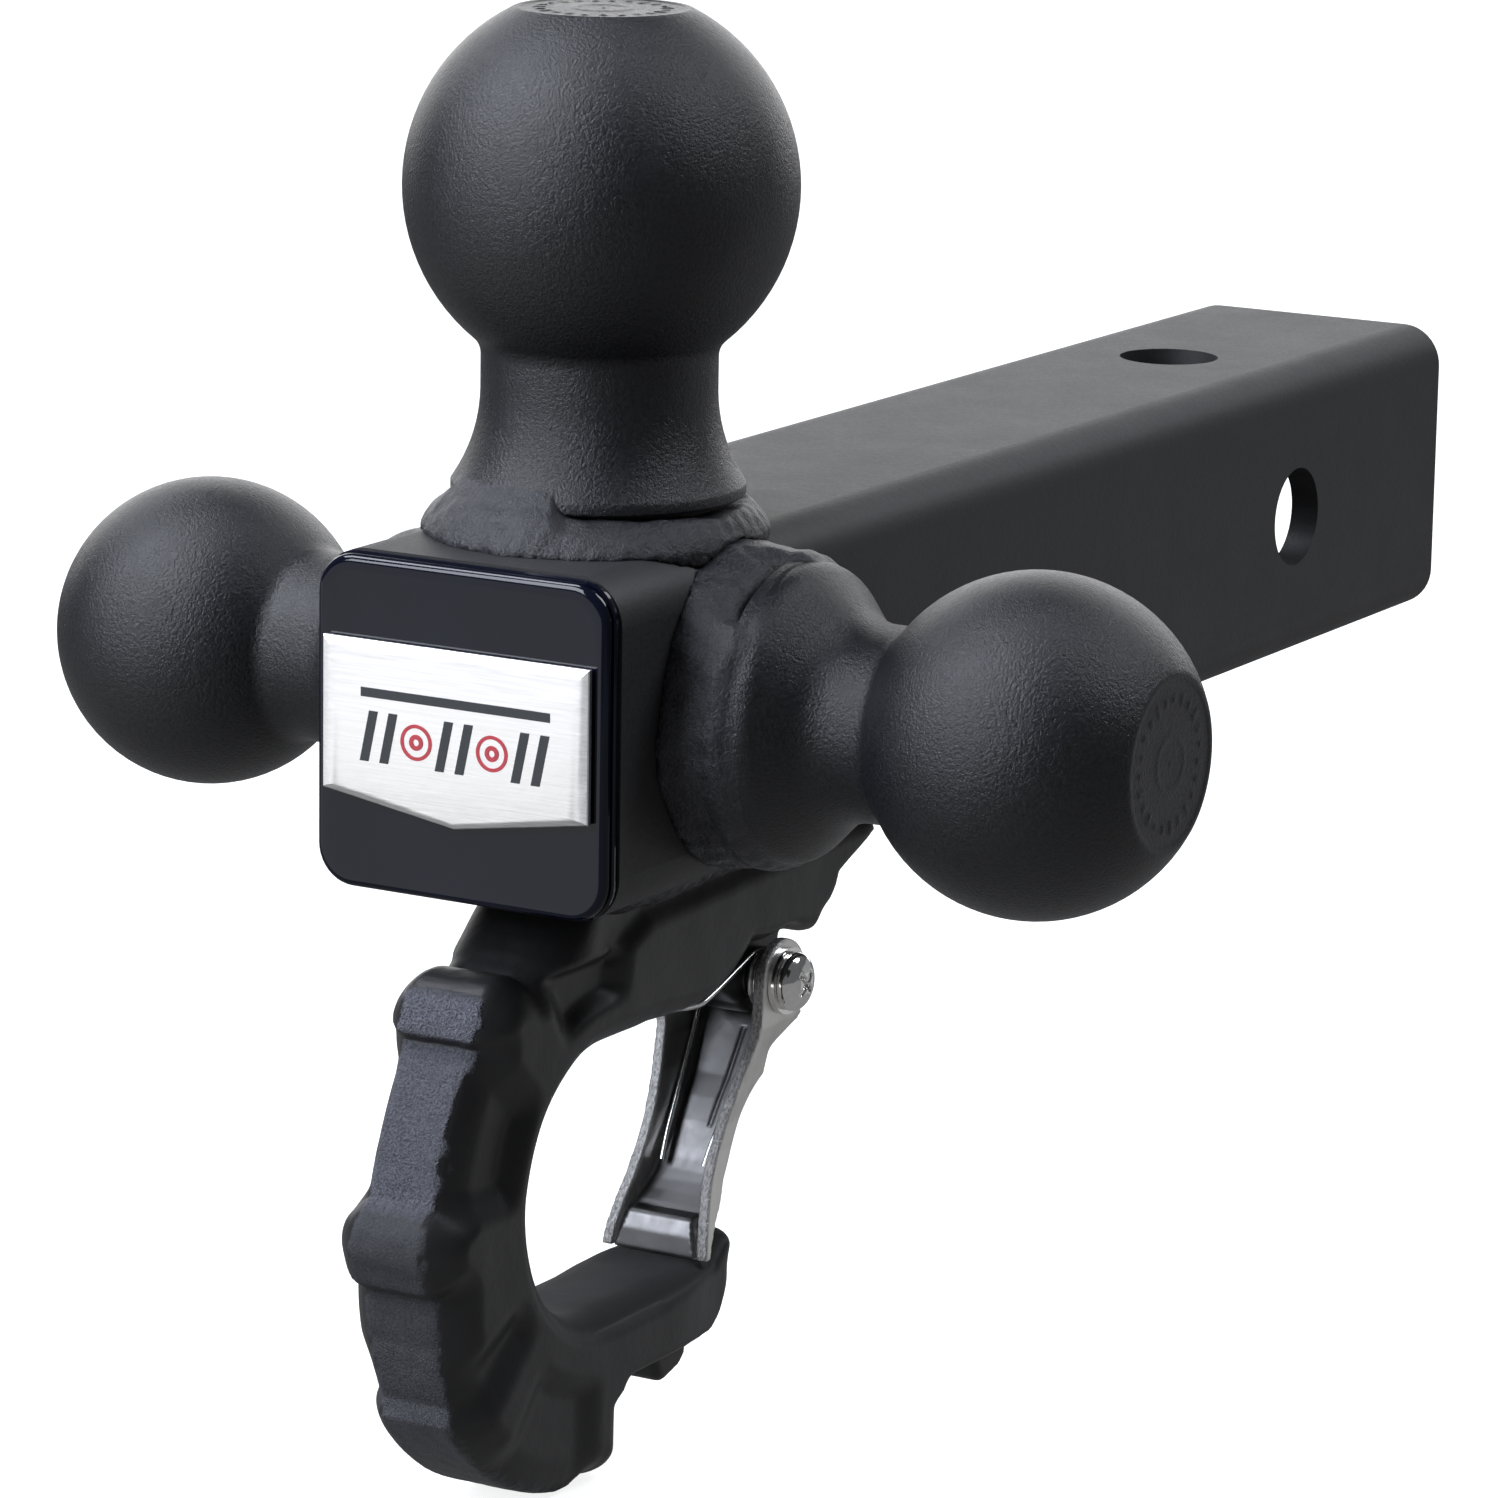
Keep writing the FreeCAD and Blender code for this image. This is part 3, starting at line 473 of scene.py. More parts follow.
def largest_part(vertices, quads):
    """The biggest connected piece of a mesh, without loose specks."""
    label = np.arange(len(vertices))
    before = None
    while before is None or (label != before).any():
        before = label.copy()
        lowest = label[quads].min(axis=1)
        for corner in range(4):
            np.minimum.at(label, quads[:, corner], lowest)
        label = label[label]
    kept = label == np.bincount(label).argmax()
    number = np.cumsum(kept) - 1
    return vertices[kept], number[quads[kept[quads[:, 0]]]]


def solid_from_field(name, field, low, step, origin, material):
    """The closed surface where the field is 0; low and step place the grid about the origin."""
    grid = openvdb.FloatGrid(float(field.max()))
    grid.copyFromArray(np.ascontiguousarray(field, dtype=np.float32))
    vertices, quads = largest_part(*grid.convertToQuads(isovalue=0.0))
    place = (vertices * step + np.array(low)) * MM + np.array(origin)
    return mesh_object(name, place, quads, material)


def surface_of(item, centre):
    """An object's points, in millimetres from a centre, and their normals."""
    vertices = item.data.vertices
    place = (np.array([v.co for v in vertices]) - np.array(centre)) / MM
    return place, np.array([v.normal for v in vertices])


def mark(item, name, values):
    """Stores a value on each point of an object, for its material to read."""
    marks = item.data.attributes.new(name, "FLOAT", "POINT")
    marks.data.foreach_set("value", values.astype(np.float32))


def ring_quads(here, above, count):
    """Faces between two rings of points."""
    return [(here + k, here + (k + 1) % count, above + (k + 1) % count, above + k)
            for k in range(count)]


def skin(first, count, rows):
    """Faces over rows of points from a first index on: two lids and the quads between them."""
    last = first + (rows - 1) * count
    faces = [tuple(range(first, first + count)), tuple(reversed(range(last, last + count)))]
    for here in range(first, last, count):
        after = here + count
        faces += [(here + k, after + k, after + (k + 1) % count, here + (k + 1) % count)
                  for k in range(count)]
    return faces


def piece(item, body, slot, *nodes):
    """Fixes a finished object to its body and lets it stand for CAD nodes."""
    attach(item, body)
    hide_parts(*nodes)


# --- tow hook ---

BALLS_X = (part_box("top_ball")[0][0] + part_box("top_ball")[1][0]) / 2
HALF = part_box("receiver_shank")[1][2] / MM
PIVOT = (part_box("pivot_sleeve")[0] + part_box("pivot_sleeve")[1]) / 2
THROAT = Vector((BALLS_X - 11.0 * MM, 0, -72.0 * MM))
THROAT_RADIUS = 20.7
HOOK_HALF = 10.7
TONGUE_HALF = 4.6
SLEEVE_RADIUS = 3.5


def hook_outline():
    """Side view from the throat's centre: back with three ribs, heel, arm, nose and body."""
    top = -HALF - THROAT.z / MM + 0.4
    throat = THROAT_RADIUS
    return trace([
        (-2.5, top), (-19.8, 35.0), ((-26.6, 36.2), (-32.4, 31.2)), (-33.2, 28.4), (-31.9, 26.8),
        ((-38.0, 17.0), (-41.8, 5.6)), ((-45.7, 1.7), (-46.0, -3.0)), (-44.7, -6.8), (-41.8, -8.4),
        ((-41.0, -17.2), (-37.8, -26)), (-38.4, -29),
        ((-26.5, -40.2), (-10, -46.6)), (-2, -46.6), ((2.8, -45.3), (4, -41.7)),
        (4.3, -35.5), ((5.4, -33), (8, -32.1)), (31.7, -32), ((36.4, -28.4), (38.6, -24)),
        (40, -20.4), ((39.2, -17.9), (36.8, -17.4)), (32.6, -throat), (0, -throat),
        ((-throat, 0), (0, throat)), (24, throat), ((33, 22.3), (42, 27.6)), (62, 25.5),
        (66.2, 29.6), (68.2, 34), (79.5, 38.6), (79.5, top),
    ])


def hook_back():
    """The outer run of the side view, which the trimmed strip follows."""
    outline = hook_outline()
    return outline[:outline.index((-2, -46.6)) + 1]


def throat_outline():
    """The space that the hook bends round, from its centre, open towards the latch."""
    throat = THROAT_RADIUS
    return trace([(0, -throat), ((-throat, 0), (0, throat)), (24, throat), ((33, 22.3), (42, 27.6)),
                  (62, 25.5), (90, 10), (90, -6), (36.8, -17.4), (32.6, -throat)])


# soft hollows pressed into each flank: from and to angle, distance outside the throat, depth
HOOK_SCOOPS = [(136, 178, 5.0, 2.8), (203, 223, 5.5, 2.3), (228, 267, 8.5, 1.7)]


def scoop(x, z, first, last, start, depth):
    """A soft hollow between two angles about the throat, from a distance outside it outwards."""
    angle = np.degrees(np.arctan2(z, x)) % 360
    radius = np.hypot(x, z)
    ends = smooth_step(np.radians(angle - first) * radius / 6.5)
    ends = ends * smooth_step(np.radians(last - angle) * radius / 6.5)
    return depth * ends * smooth_step((radius - THROAT_RADIUS - start) / 4.0)


def strip_half(angle):
    """Half the width of the forging's back, by angle about the throat's centre."""
    angles = [90, 110, 124, 138, 147, 160, 172, 184, 194, 204, 225, 262, 275]
    halves = [10.7, 7.2, 5.9, 6.6, 5.5, 5.3, 5.6, 6.3, 6.2, 5.7, 6.1, 7.6, 8.6]
    return np.interp(angle, angles, halves)


def hook_half_width(x, z, back):
    """Half the hook's thickness at a point of its side view, given its distance from the back."""
    strip = strip_half(np.degrees(np.arctan2(z, x)) % 360)
    wall = 1 - (1 - np.clip(back / 6.0, 0, 1)) ** 1.7
    width = HOOK_HALF
    for first, last, start, depth in HOOK_SCOOPS:
        width = width - scoop(x, z, first, last, start, depth)
    closed = smooth_step((36.2 - z) / 2.5)
    width = width - closed * scoop(x, z, 80, 122, 6.0, 2.6)
    width = strip + (width - strip) * wall
    line = np.interp(x, [-2, 1, 11, 71], [34, 32.5, 36.4, 38.2])
    width = width - 1.9 * smooth_step((z - line) / 4.2) * smooth_step((x + 8) / 13)
    nose = smooth_step((x - 20) / 18) * smooth_step((-14 - z) / 3)
    return width - 1.5 * nose


def edge_radius(x, z, opening):
    """How far the flank's edge is rounded: most beside the throat, least along the back strip."""
    near = smooth_step((9.0 - opening) / 6.0)
    beside = np.interp(x, [14, 30], [5.4, 3.2])
    heel = smooth_step((x + 9) / 6) * smooth_step((-33 - z) / 3)
    neck = smooth_step((x + 24) / 8) * smooth_step((z - 30) / 6) * smooth_step((2 - x) / 6)
    radius = 0.8 + (beside - 0.8) * near
    return np.maximum(radius, np.maximum(4.2 * heel, 3.4 * neck))


def latch_tongue(x, y, z, px, pz):
    """The tongue between the latch's cheeks, rounded about the pivot."""
    points = trace([(34, 24), (px - 4.8, pz - 3.6), ((px + 3.6, pz - 4.8), (px + 6, pz)),
                    (60, 26), (60, 32), (34, 32)])
    side = outline_distance(points, x, z)
    return round_max(side, np.abs(y) - TONGUE_HALF, 0.8)


def tow_hook():
    """The forging, with its rough back strip, pressed flanks and the tongue for the latch."""
    step = 0.49
    low, high = (-49.5, -12.2, -49.5), (82, 12.2, 48.5)
    x, y, z = lattice(low, high, step)
    side = outline_distance(hook_outline(), x, z)
    opening = outline_distance(throat_outline(), x, z)
    back = line_distance(hook_back(), x, z)
    width = hook_half_width(x, z, back)
    radius = edge_radius(x, z, opening)
    flank = (np.abs(y) - width) * 0.9 + 0.05 * lumps(x, y, z, 11.0, 11)
    rough = 0.04 * lumps(x, y, z, 7.0, 5)
    trimmed = smooth_step((6.4 - np.abs(y)) / 1.5) * smooth_step((4 - back) / 2)
    rough = rough + trimmed * 0.07 * lumps(x, y, z, 3.4, 8)
    body = round_max(side + rough, flank, radius)
    rib = trace([(15.2, -30), (18.6, -36.4), ((19.9, -37.3), (21.4, -37.2)),
                 (25.2, -36.2), (27.0, -34.6), (27.4, -30)])
    rib = round_max(outline_distance(rib, x, z), np.abs(y) - 8.0, 1.3)
    body = round_min(body, rib, 1.0)
    px, pz = (PIVOT.x - THROAT.x) / MM, (PIVOT.z - THROAT.z) / MM
    reach = np.hypot(x - px, z - pz)
    body = round_max(body, np.minimum(9.0 - reach, np.abs(y) - TONGUE_HALF), 0.8)
    body = round_min(body, latch_tongue(x, y, z, px, pz), 0.8)
    body = np.maximum(body, SLEEVE_RADIUS - reach)
    hook = solid_from_field("tow_hook_forging", body, low, step, THROAT, HOOK_COAT)
    mark_strip(hook)
    piece(hook, "mount", "forging_coat", "tow_hook")


def mark_strip(hook):
    """The ragged strip where flash was trimmed off the back, paler by amounts set along its length
    (partly its own tone, partly painted highlight), and the matt seat and knuckle.
    """
    place, normal = surface_of(hook, THROAT)
    angle = np.degrees(np.arctan2(place[:, 2], place[:, 0])) % 360
    radial = np.hypot(place[:, 0], place[:, 2])
    facing = (normal[:, 0] * place[:, 0] + normal[:, 2] * place[:, 2]) / radial
    ragged = 0.6 * lumps(place[:, 0], place[:, 1], place[:, 2], 2.2, 3)
    edge = strip_half(angle) + 0.5 + ragged - np.abs(place[:, 1])
    ends = np.minimum(angle - 130, 268 - angle) / 3
    # The strip's paleness by angle: partly the trimmed surface's own tone, partly painted highlight
    # set to how brightly each stretch of the back is lit.
    strip_tone_and_highlight = np.interp(angle + ragged, [137, 141, 144, 166, 172, 175, 200, 204],
                     [1, 0.5, 0.62, 0.6, 0.8, 0.16, 0.16, 0.3])
    mask = smooth_step(edge / 0.5) * smooth_step((facing - 0.3) / 0.3) * smooth_step(ends)
    mark(hook, "strip", strip_tone_and_highlight * mask)
    bed = smooth_step((THROAT_RADIUS + 2 - radial) / 1.5)
    bed = np.maximum(bed, np.abs(place[:, 2] + 19) < 4)
    seat = smooth_step((normal[:, 2] - 0.35) / 0.4) * bed
    knuckle = np.interp(angle, [171, 175, 196, 202], [0, 0.75, 0.75, 0]) * mask
    mark(hook, "seat", np.maximum(seat, knuckle))


# --- latch ---

SHEET = 1.9
LATCH_TOP = 6.5
WEB_TOP = -6.2
FOLD = -34.2


def latch_outline():
    """Side view from the pivot: round cheeks, the web's line behind, the cheeks' edge in front."""
    return trace([
        (-6.5, 0), ((0, 6.5), (6.5, 0)), (5.6, -5.6), ((2.6, -9.6), (-1.6, -15.2)),
        ((-5.3, -19.4), (-9.2, -25)), ((-12.2, -29), (-16.2, -33.2)),
        ((-19.4, -36.6), (-21.2, -40.2)), (-22.6, -40.2), (-22.0, -37.0),
        ((-19.6, -31.4), (-14.6, -22.4)), ((-10.6, -14.9), (-7.2, -8)),
    ])


def latch_hollow():
    """The space in front of the web, inside the sheet, seen from the side."""
    return trace([
        (12, 12), (12, WEB_TOP), (3.4, WEB_TOP), ((0.4, -10.6), (-3.4, -16.0)),
        ((-7.2, -20.5), (-11.0, -26.0)), ((-14.0, -30.2), (-17.2, -33.4)), (-19.6, -36.0),
        (-21.4, -41.5), (-40, -41.5), (-40, 12),
    ])


def latch_front():
    """The space in front of the cheeks' edges, seen from the side."""
    return trace([(-6.9, 12), (-7.2, -8), ((-10.6, -14.9), (-14.6, -22.4)),
                  ((-19.6, -31.4), (-22.0, -37.0)), (-22.6, -44), (-60, -44), (-60, 12)])


def latch_half(z, into):
    """Half the channel's outside width by height; the cheeks lean in towards the web."""
    heights = [-40.2, -37, -33.2, -29.7, -24.7, -20.7, -14.7, -6.7, LATCH_TOP]
    halves = [9.55, 9.2, 8.5, 7.8, 7.4, 7.5, 8.2, 9.6, 9.7]
    lean = np.interp(z, [-38, -30, -20, -10, -4], [0.5, 0.9, 1.1, 0.9, 0.0])
    return np.interp(z, heights, halves) - lean * np.clip(into / 8.0, 0, 1)


def hook_latch():
    """The stamped channel: cheeks with sheared edges, a web with a pressed line, and a lip."""
    step = 0.3
    low, high = (-24.5, -10.8, -42.5), (8.5, 10.8, 8.5)
    x, y, z = lattice(low, high, step)
    outside = outline_distance(latch_outline(), x, z)
    hollow = outline_distance(latch_hollow(), x, z)
    front = outline_distance(latch_front(), x, z)
    half = latch_half(z, front)
    wave = 0.03 * lumps(x, y, z, 6.0, 21)
    cheeks = np.abs(y) - half + wave
    solid = round_max(outside, cheeks, 0.25)
    web_side = smooth_step((front - 3.5) / 2.5) * smooth_step((WEB_TOP - z) / 2)
    corner = round_max(outside, cheeks, 2.4)
    solid = solid + (corner - solid) * web_side
    inner = round_max(hollow, np.abs(y) - (half - SHEET), 0.9)
    shell = round_max(solid, -inner, 0.22)
    press = np.hypot(y + 1.6, (hollow + 0.1) * 1.3) - 0.42
    groove = np.where((z < -9) & (z > -23), press, 1.0)
    shell = np.maximum(shell, -groove)
    swell = np.interp(z, [-40.2, FOLD], [7.3, 5.6])
    cushion = round_max(hollow, np.abs(y) - swell, 1.6)
    cushion = np.maximum(cushion - 1.0, z - FOLD)
    lip = round_max(outside, cushion, 0.8)
    shell = round_min(shell, np.maximum(lip, np.abs(y) - swell), 0.25)
    bore = SLEEVE_RADIUS + 0.05 - np.hypot(x, z)
    shell = np.maximum(shell, bore)
    latch = solid_from_field("latch_channel", shell, low, step, PIVOT, LATCH_STEEL)
    mark_sheared(latch)
    piece(latch, "latch", "latch_steel", "hook_latch")


def mark_sheared(latch):
    """The cheeks' cut edges, which show rough and bright, and the inside faces that get painted
    shade.
    """
    place, normal = surface_of(latch, PIVOT)
    half = latch_half(place[:, 2], 0)
    on_cheek = smooth_step((np.abs(place[:, 1]) - half + SHEET + 0.3) / 0.3)
    level = smooth_step((0.75 - np.abs(normal[:, 1])) / 0.3)
    forward = smooth_step((0.2 - normal[:, 0]) / 0.3)
    mark(latch, "sheared", on_cheek * level * forward)
    # Painted shade: the channel's inside faces, picked by which way they turn, are marked for
    # darkening.
    within = smooth_step((half - SHEET + 0.2 - np.abs(place[:, 1])) / 0.4)
    inner = smooth_step((0.62 * normal[:, 2] - 0.79 * normal[:, 0] + 0.1) / 0.5)
    mark(latch, "inside", within * inner)


# --- turned pieces ---


def turned(name, profile, place, material, shift):
    """A solid turned from (radius, height) points that start and end on the axis.

    The shift gives each point's extra height from its radius, height and angle; place turns
    the local axes, whose Z is the axis, into the frame's.
    """
    count = 192
    angles = np.arange(count) * 2 * math.pi / count
    points = [(0, 0, profile[0][1])]
    for radius, height in profile[1:-1]:
        extra = shift(radius, height, angles)
        points += [(radius * math.cos(a), radius * math.sin(a), height + e)
                   for a, e in zip(angles, extra)]
    points.append((0, 0, profile[-1][1]))
    faces = [(0, 1 + (k + 1) % count, 1 + k) for k in range(count)]
    last = 1 + (len(profile) - 3) * count
    for here in range(1, last, count):
        faces += ring_quads(here, here + count, count)
    faces += [(last + k, last + (k + 1) % count, len(points) - 1) for k in range(count)]
    moved = [place @ (Vector(point) * MM) for point in points]
    return mesh_object(name, moved, faces, material, 40)


def on_y(side, x, z):
    """Local Z turned to +Y (side 1) or -Y (side -1), about a point of the XZ plane."""
    return Matrix.Translation((x, 0, z)) @ Matrix.Rotation(math.radians(-90 * side), 4, "X")


def flat_marks(radius, angles):
    """Raised ticks of uneven length in a ring on a ball's flat, and a low ring round the middle."""
    ticks = 23
    turn = angles * ticks / (2 * math.pi)
    which = np.floor(turn).astype(int)
    long = 1.2 + 1.1 * ((which * 7) % 5) / 4
    inside = smooth_step((0.5 * long - abs(radius - 9.4)) / 0.3)
    across = smooth_step((0.26 - np.abs(turn - which - 0.5)) / 0.16)
    ring = smooth_step((0.8 - abs(radius - 4.2)) / 0.6)
    return 0.15 * inside * across + 0.10 * ring


def plain_flare(rim, rim_top, neck):
    """The top ball's foot: one hollow arc from the rim to the neck."""
    rise = 13.4
    step = rim - neck
    radius = (rise ** 2 + step ** 2) / (2 * step)
    angle = 0.5 * math.asin(rise / radius)
    middle = (neck + radius * (1 - math.cos(angle)), rim_top + rise - radius * math.sin(angle))
    return [(middle, (neck, rim_top + rise))]


def round_shoulder(rim, rim_top, neck):
    """A side ball's foot: a round shoulder over the rim, a slope and a hollow arc to the neck."""
    shoulder, hollow = 5.5, 9.0
    full = math.sin(math.radians(45))
    half_sine, half_cosine = math.sin(math.radians(22.5)), math.cos(math.radians(22.5))
    bend = (rim - shoulder * (1 - half_cosine), rim_top + shoulder * half_sine)
    slope = (rim - shoulder * (1 - full), rim_top + shoulder * full)
    drop = slope[0] - neck - hollow * (1 - full)
    foot = (slope[0] - drop, slope[1] + drop)
    end = (neck, foot[1] + hollow * full)
    middle = (neck + hollow * (1 - half_cosine), end[1] - hollow * half_sine)
    return [(bend, slope), foot, (middle, end)]


RIM_THICK = 2.0
SIDE_RISE = 1.2
# each ball's neck and rim radius, its rim's distance from the shank's centre, and its foot
FEET = {
    "top_ball": (17.65, 22.0, 30.6, plain_flare),
    "left_ball": (14.7, 20.2, 29.6, round_shoulder),
    "right_ball": (14.7, 22.6, 33.3, round_shoulder),
}


def foot_steps(name):
    """A ball's foot from its rim's lower edge up to the neck, for trace."""
    neck, rim, rim_out, shoulder = FEET[name]
    rim_top = rim_out + RIM_THICK
    return [(rim - 0.35, rim_out), (rim, rim_out + 0.35), (rim, rim_top - 0.3),
            (rim - 0.2, rim_top)] + shoulder(rim, rim_top, neck)


def foot_distance(name, around, out):
    """Signed distance to a ball's foot and the lower part of its neck."""
    neck, _, rim_out, _ = FEET[name]
    high = rim_out + RIM_THICK + 14
    outline = trace([(0, rim_out)] + foot_steps(name) + [(neck, high), (0, high)])
    return outline_distance(outline, around, out)


def ball(name, ball_radius, centre, place):
    """A ball on its neck, with a marked flat, a flared foot, a rim and a pedestal."""
    neck, _, rim_out, _ = FEET[name]
    flat, blend, pedestal = 13.3, 3.5, 19.5
    crown = centre + math.sqrt(ball_radius ** 2 - flat ** 2)
    blend_out = centre - math.sqrt((ball_radius + blend) ** 2 - (neck + blend) ** 2)
    reach = (neck + blend) / (ball_radius + blend)
    touch = (reach * ball_radius, centre - ball_radius * math.sqrt(1 - reach ** 2))
    half_turn = 0.5 * math.acos(reach)
    bend = (neck + blend * (1 - math.cos(half_turn)), blend_out + blend * math.sin(half_turn))
    profile = trace([(0, HALF), (pedestal, HALF), (pedestal, rim_out)] + foot_steps(name)
                    + [(neck, blend_out), (bend, touch),
                       ((ball_radius, centre), (flat + 0.3, crown - 0.25))])
    profile += [(radius, crown) for radius in np.arange(flat - 0.25, 0.3, -0.32)]
    profile.append((0, crown))

    def shift(radius, height, angles):
        if height == crown and radius < flat - 1:
            return flat_marks(radius, angles) - 0.15
        return np.zeros(len(angles))

    made = turned(name + "_turned", profile, place, BALL_COAT, shift)
    piece(made, "mount", "ball_coat", name)


# --- weld beads ---


def shank_distance(y, z):
    """Distance outside the shank's rounded section, negative inside it."""
    out_y, out_z = np.abs(y) - HALF + 7, np.abs(z) - HALF + 7
    outside = np.hypot(np.maximum(out_y, 0), np.maximum(out_z, 0))
    return outside + np.minimum(np.maximum(out_y, out_z), 0) - 7


def weld_bead(name, field, low, step, target):
    """A bead from its field, on the balls' axes, in place of a CAD node."""
    made = solid_from_field(name, field, low, step, (BALLS_X, 0, 0), WELD_COAT)
    piece(made, "mount", "weld_coat", target)


def side_bead_field(x, y, z, side):
    """A side ball's bead, about the balls' axes: a wavy foot, and a crest that laps the rim."""
    name = "left_ball" if side > 0 else "right_ball"
    _, rim, rim_out, _ = FEET[name]
    out = side * y
    around = np.hypot(x, z - SIDE_RISE)
    turn = np.arctan2(z - SIDE_RISE, x)
    wave = lumps(24 * np.cos(turn), 24 * np.sin(turn), 0 * turn, 13.0, 31 + side)
    ripple = lumps(x, y, z, 3.4, 35 + side)
    degrees = np.degrees(turn)
    lapped = 1 - smooth_step((degrees - 84) / 14) * smooth_step((140 - degrees) / 14)
    share = np.clip((out - HALF) / (rim_out - 26.5), -0.6, 1)
    taper = 2.6 + 0.4 * wave - 1.5 * lapped
    reach = rim + 2.0 + 0.5 * wave - taper * np.abs(share) ** 1.3 * (share > 0)
    crest = rim_out - 1.2 + 0.25 * wave + 2.4 * lapped
    field = round_max(around - reach - 0.16 * ripple, out - crest - 0.12 * ripple, 1.5)
    foot = foot_distance(name, around, out)
    field = round_min(field, foot + 0.05 + 2.5 * (1 - lapped), 0.1 + 2.6 * lapped)
    field = np.maximum(field, np.maximum(-foot - 1.5, out - 38.5))
    field = np.maximum(field, 19.6 - around * (out < rim_out) - 40 * (out >= rim_out))
    return np.maximum(field, np.maximum(0.02 - shank_distance(y, z), 20 - out))


def side_bead(side, name):
    """A side ball's bead; +1 is the left side, -1 the right."""
    step = 0.5
    low, high = (-27, 20 if side > 0 else -39, -26), (27, 39 if side > 0 else -20, 28)
    x, y, z = lattice(low, high, step)
    field = side_bead_field(x, y, z, side)
    weld_bead(name + "_weld_bead", field, low, step, name + "_weld")


def top_bead():
    """The upright ball's bead: it laps the rim at the left front and undercuts it elsewhere."""
    step = 0.45
    low, high = (-31, -26, 20.5), (31, 26, 38)
    x, y, z = lattice(low, high, step)
    around = np.hypot(x, y)
    turn = np.degrees(np.arctan2(y, x)) % 360
    wave = lumps(26 * np.cos(np.radians(turn)), 26 * np.sin(np.radians(turn)), 0, 12.0, 41)
    ripple = lumps(x, y, z, 3.0, 43)
    reach = np.interp(turn, [0, 90, 140, 160, 178, 216, 238, 262, 300, 360],
                      [27.0, 26.0, 26.8, 28.0, 28.6, 28.3, 26.9, 25.0, 25.4, 27.0]) + 0.4 * wave
    lapped = smooth_step((turn - 122) / 16) * smooth_step((201 - turn) / 8)
    crest = np.interp(turn, [0, 84, 206, 225, 275, 360], [29.7, 29.7, 30.3, 30.0, 29.6, 29.7])
    crest = crest + (33.0 - crest) * lapped
    rise = crest - HALF
    inner = 22.0 - 1.5 * lapped
    share_out = np.maximum(around - inner, 0) / (reach - inner)
    share_up = np.maximum(z - HALF, 0) / rise
    curve = (share_out ** 1.4 + share_up ** 1.4) ** (1 / 1.4) - 1
    field = curve * np.minimum(rise, reach - inner) + 0.15 * ripple + 0.12 * wave
    foot = foot_distance("top_ball", around, z)
    field = round_min(field, foot + 0.05 + 2.5 * (1 - lapped), 0.1 + 1.3 * lapped)
    field = np.maximum(field, np.maximum(-foot - 1.5, z - 37.5))
    field = np.maximum(field, np.maximum(19.6 - around - 40 * (z >= 30.6), np.abs(y) - 25.0))
    for side in (1, -1):
        field = np.maximum(field, -side_bead_field(x, y, z, side) + 0.05)
    field = np.maximum(field, 0.02 - shank_distance(y, z))
    weld_bead("top_ball_weld_bead", field, low, step, "top_ball_weld")


def hook_bead(side, name):
    """A rippled fillet along the hook's flank, under the shank."""
    step = 0.4
    low = (-16, 8 if side > 0 else -18, -33)
    high = (66, 18 if side > 0 else -8, -25)
    x, y, z = lattice(low, high, step)
    wave = lumps(x, 0 * y, 0 * z, 9.0, 51 + side)
    scallops = np.abs(((x + 0.25 * (z + 29) ** 2 + 0.3 * wave) / 2.6) % 1 - 0.5)
    leg = 6.1 + 0.45 * wave + 0.35 * scallops + 0.12 * lumps(x, y, z, 2.6, 55 + side)
    out, down = side * y - 9.2, -HALF - z
    field = ((np.abs(out) / 1.2) ** 1.6 + np.abs(down * 1.12) ** 1.6) ** (1 / 1.6) - leg
    field = round_max(field, np.maximum(-14 - x, x - 64), 2.2)
    field = np.maximum(field, np.maximum(-out - 0.4, 0.02 - down))
    weld_bead("hook_weld_bead_" + name, field, low, step, "hook_weld_" + name)


# --- end cap and badge ---

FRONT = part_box("receiver_shank")[0][0]
BADGE_BACK = -3.8
MOTIF_TOP, MOTIF_FOOT = -5.28, -5.0


def rounded_loop(half, corner):
    """A square with round corners, as (y, z) points."""
    steps = 10
    points = []
    for quarter in range(4):
        cy = (half - corner) * (1 if quarter in (0, 3) else -1)
        cz = (half - corner) * (1 if quarter in (0, 1) else -1)
        points += [(cy + corner * math.cos(math.radians(90 * (quarter + k / steps))),
                    cz + corner * math.sin(math.radians(90 * (quarter + k / steps))))
                   for k in range(steps + 1)]
    return points


def stacked(name, loops, material, crease):
    """A closed skin through loops of (y, z) points, each at an x from the shank's front end."""
    moved = [Vector((x, y, z)) * MM + Vector((FRONT, 0, 0)) for x, loop in loops for y, z in loop]
    return mesh_object(name, moved, skin(0, len(loops[0][1]), len(loops)), material, crease)


def end_cap():
    """A stepped flange with a raised front panel, and the hollow skirt that grips the tube."""
    skirt = [(15.0, 18.2, 1.6), (15.0, 19.9, 1.8), (14.4, 20.1, 2.0), (0.0, 20.1, 2.0)]
    flange = [(0.0, 24.7, 6.0), (-0.25, 25.1, 6.2), (-1.15, 25.2, 6.2), (-1.5, 25.0, 6.1),
              (-1.62, 24.45, 5.8), (-1.85, 24.4, 5.7), (-2.0, 24.8, 6.0)]
    edge = [(-2.15 - 1.2 * math.sin(a), 23.75 + 1.15 * math.cos(a), 4.9 + 1.1 * math.cos(a))
            for a in np.linspace(0, math.pi / 2, 7)]
    panel = [(-3.34, 22.6, 3.9), (-3.3, 12.0, 2.0)]
    inside = [(12.0, 17.6, 1.4), (0.4, 17.4, 1.4)]
    loops = [(x, rounded_loop(half, corner))
             for x, half, corner in inside[::-1] + skirt + flange + edge + panel]
    made = stacked("end_cap_moulding", loops, CAP_PLASTIC, 35)
    piece(made, "mount", "cap_plastic", "end_cap")


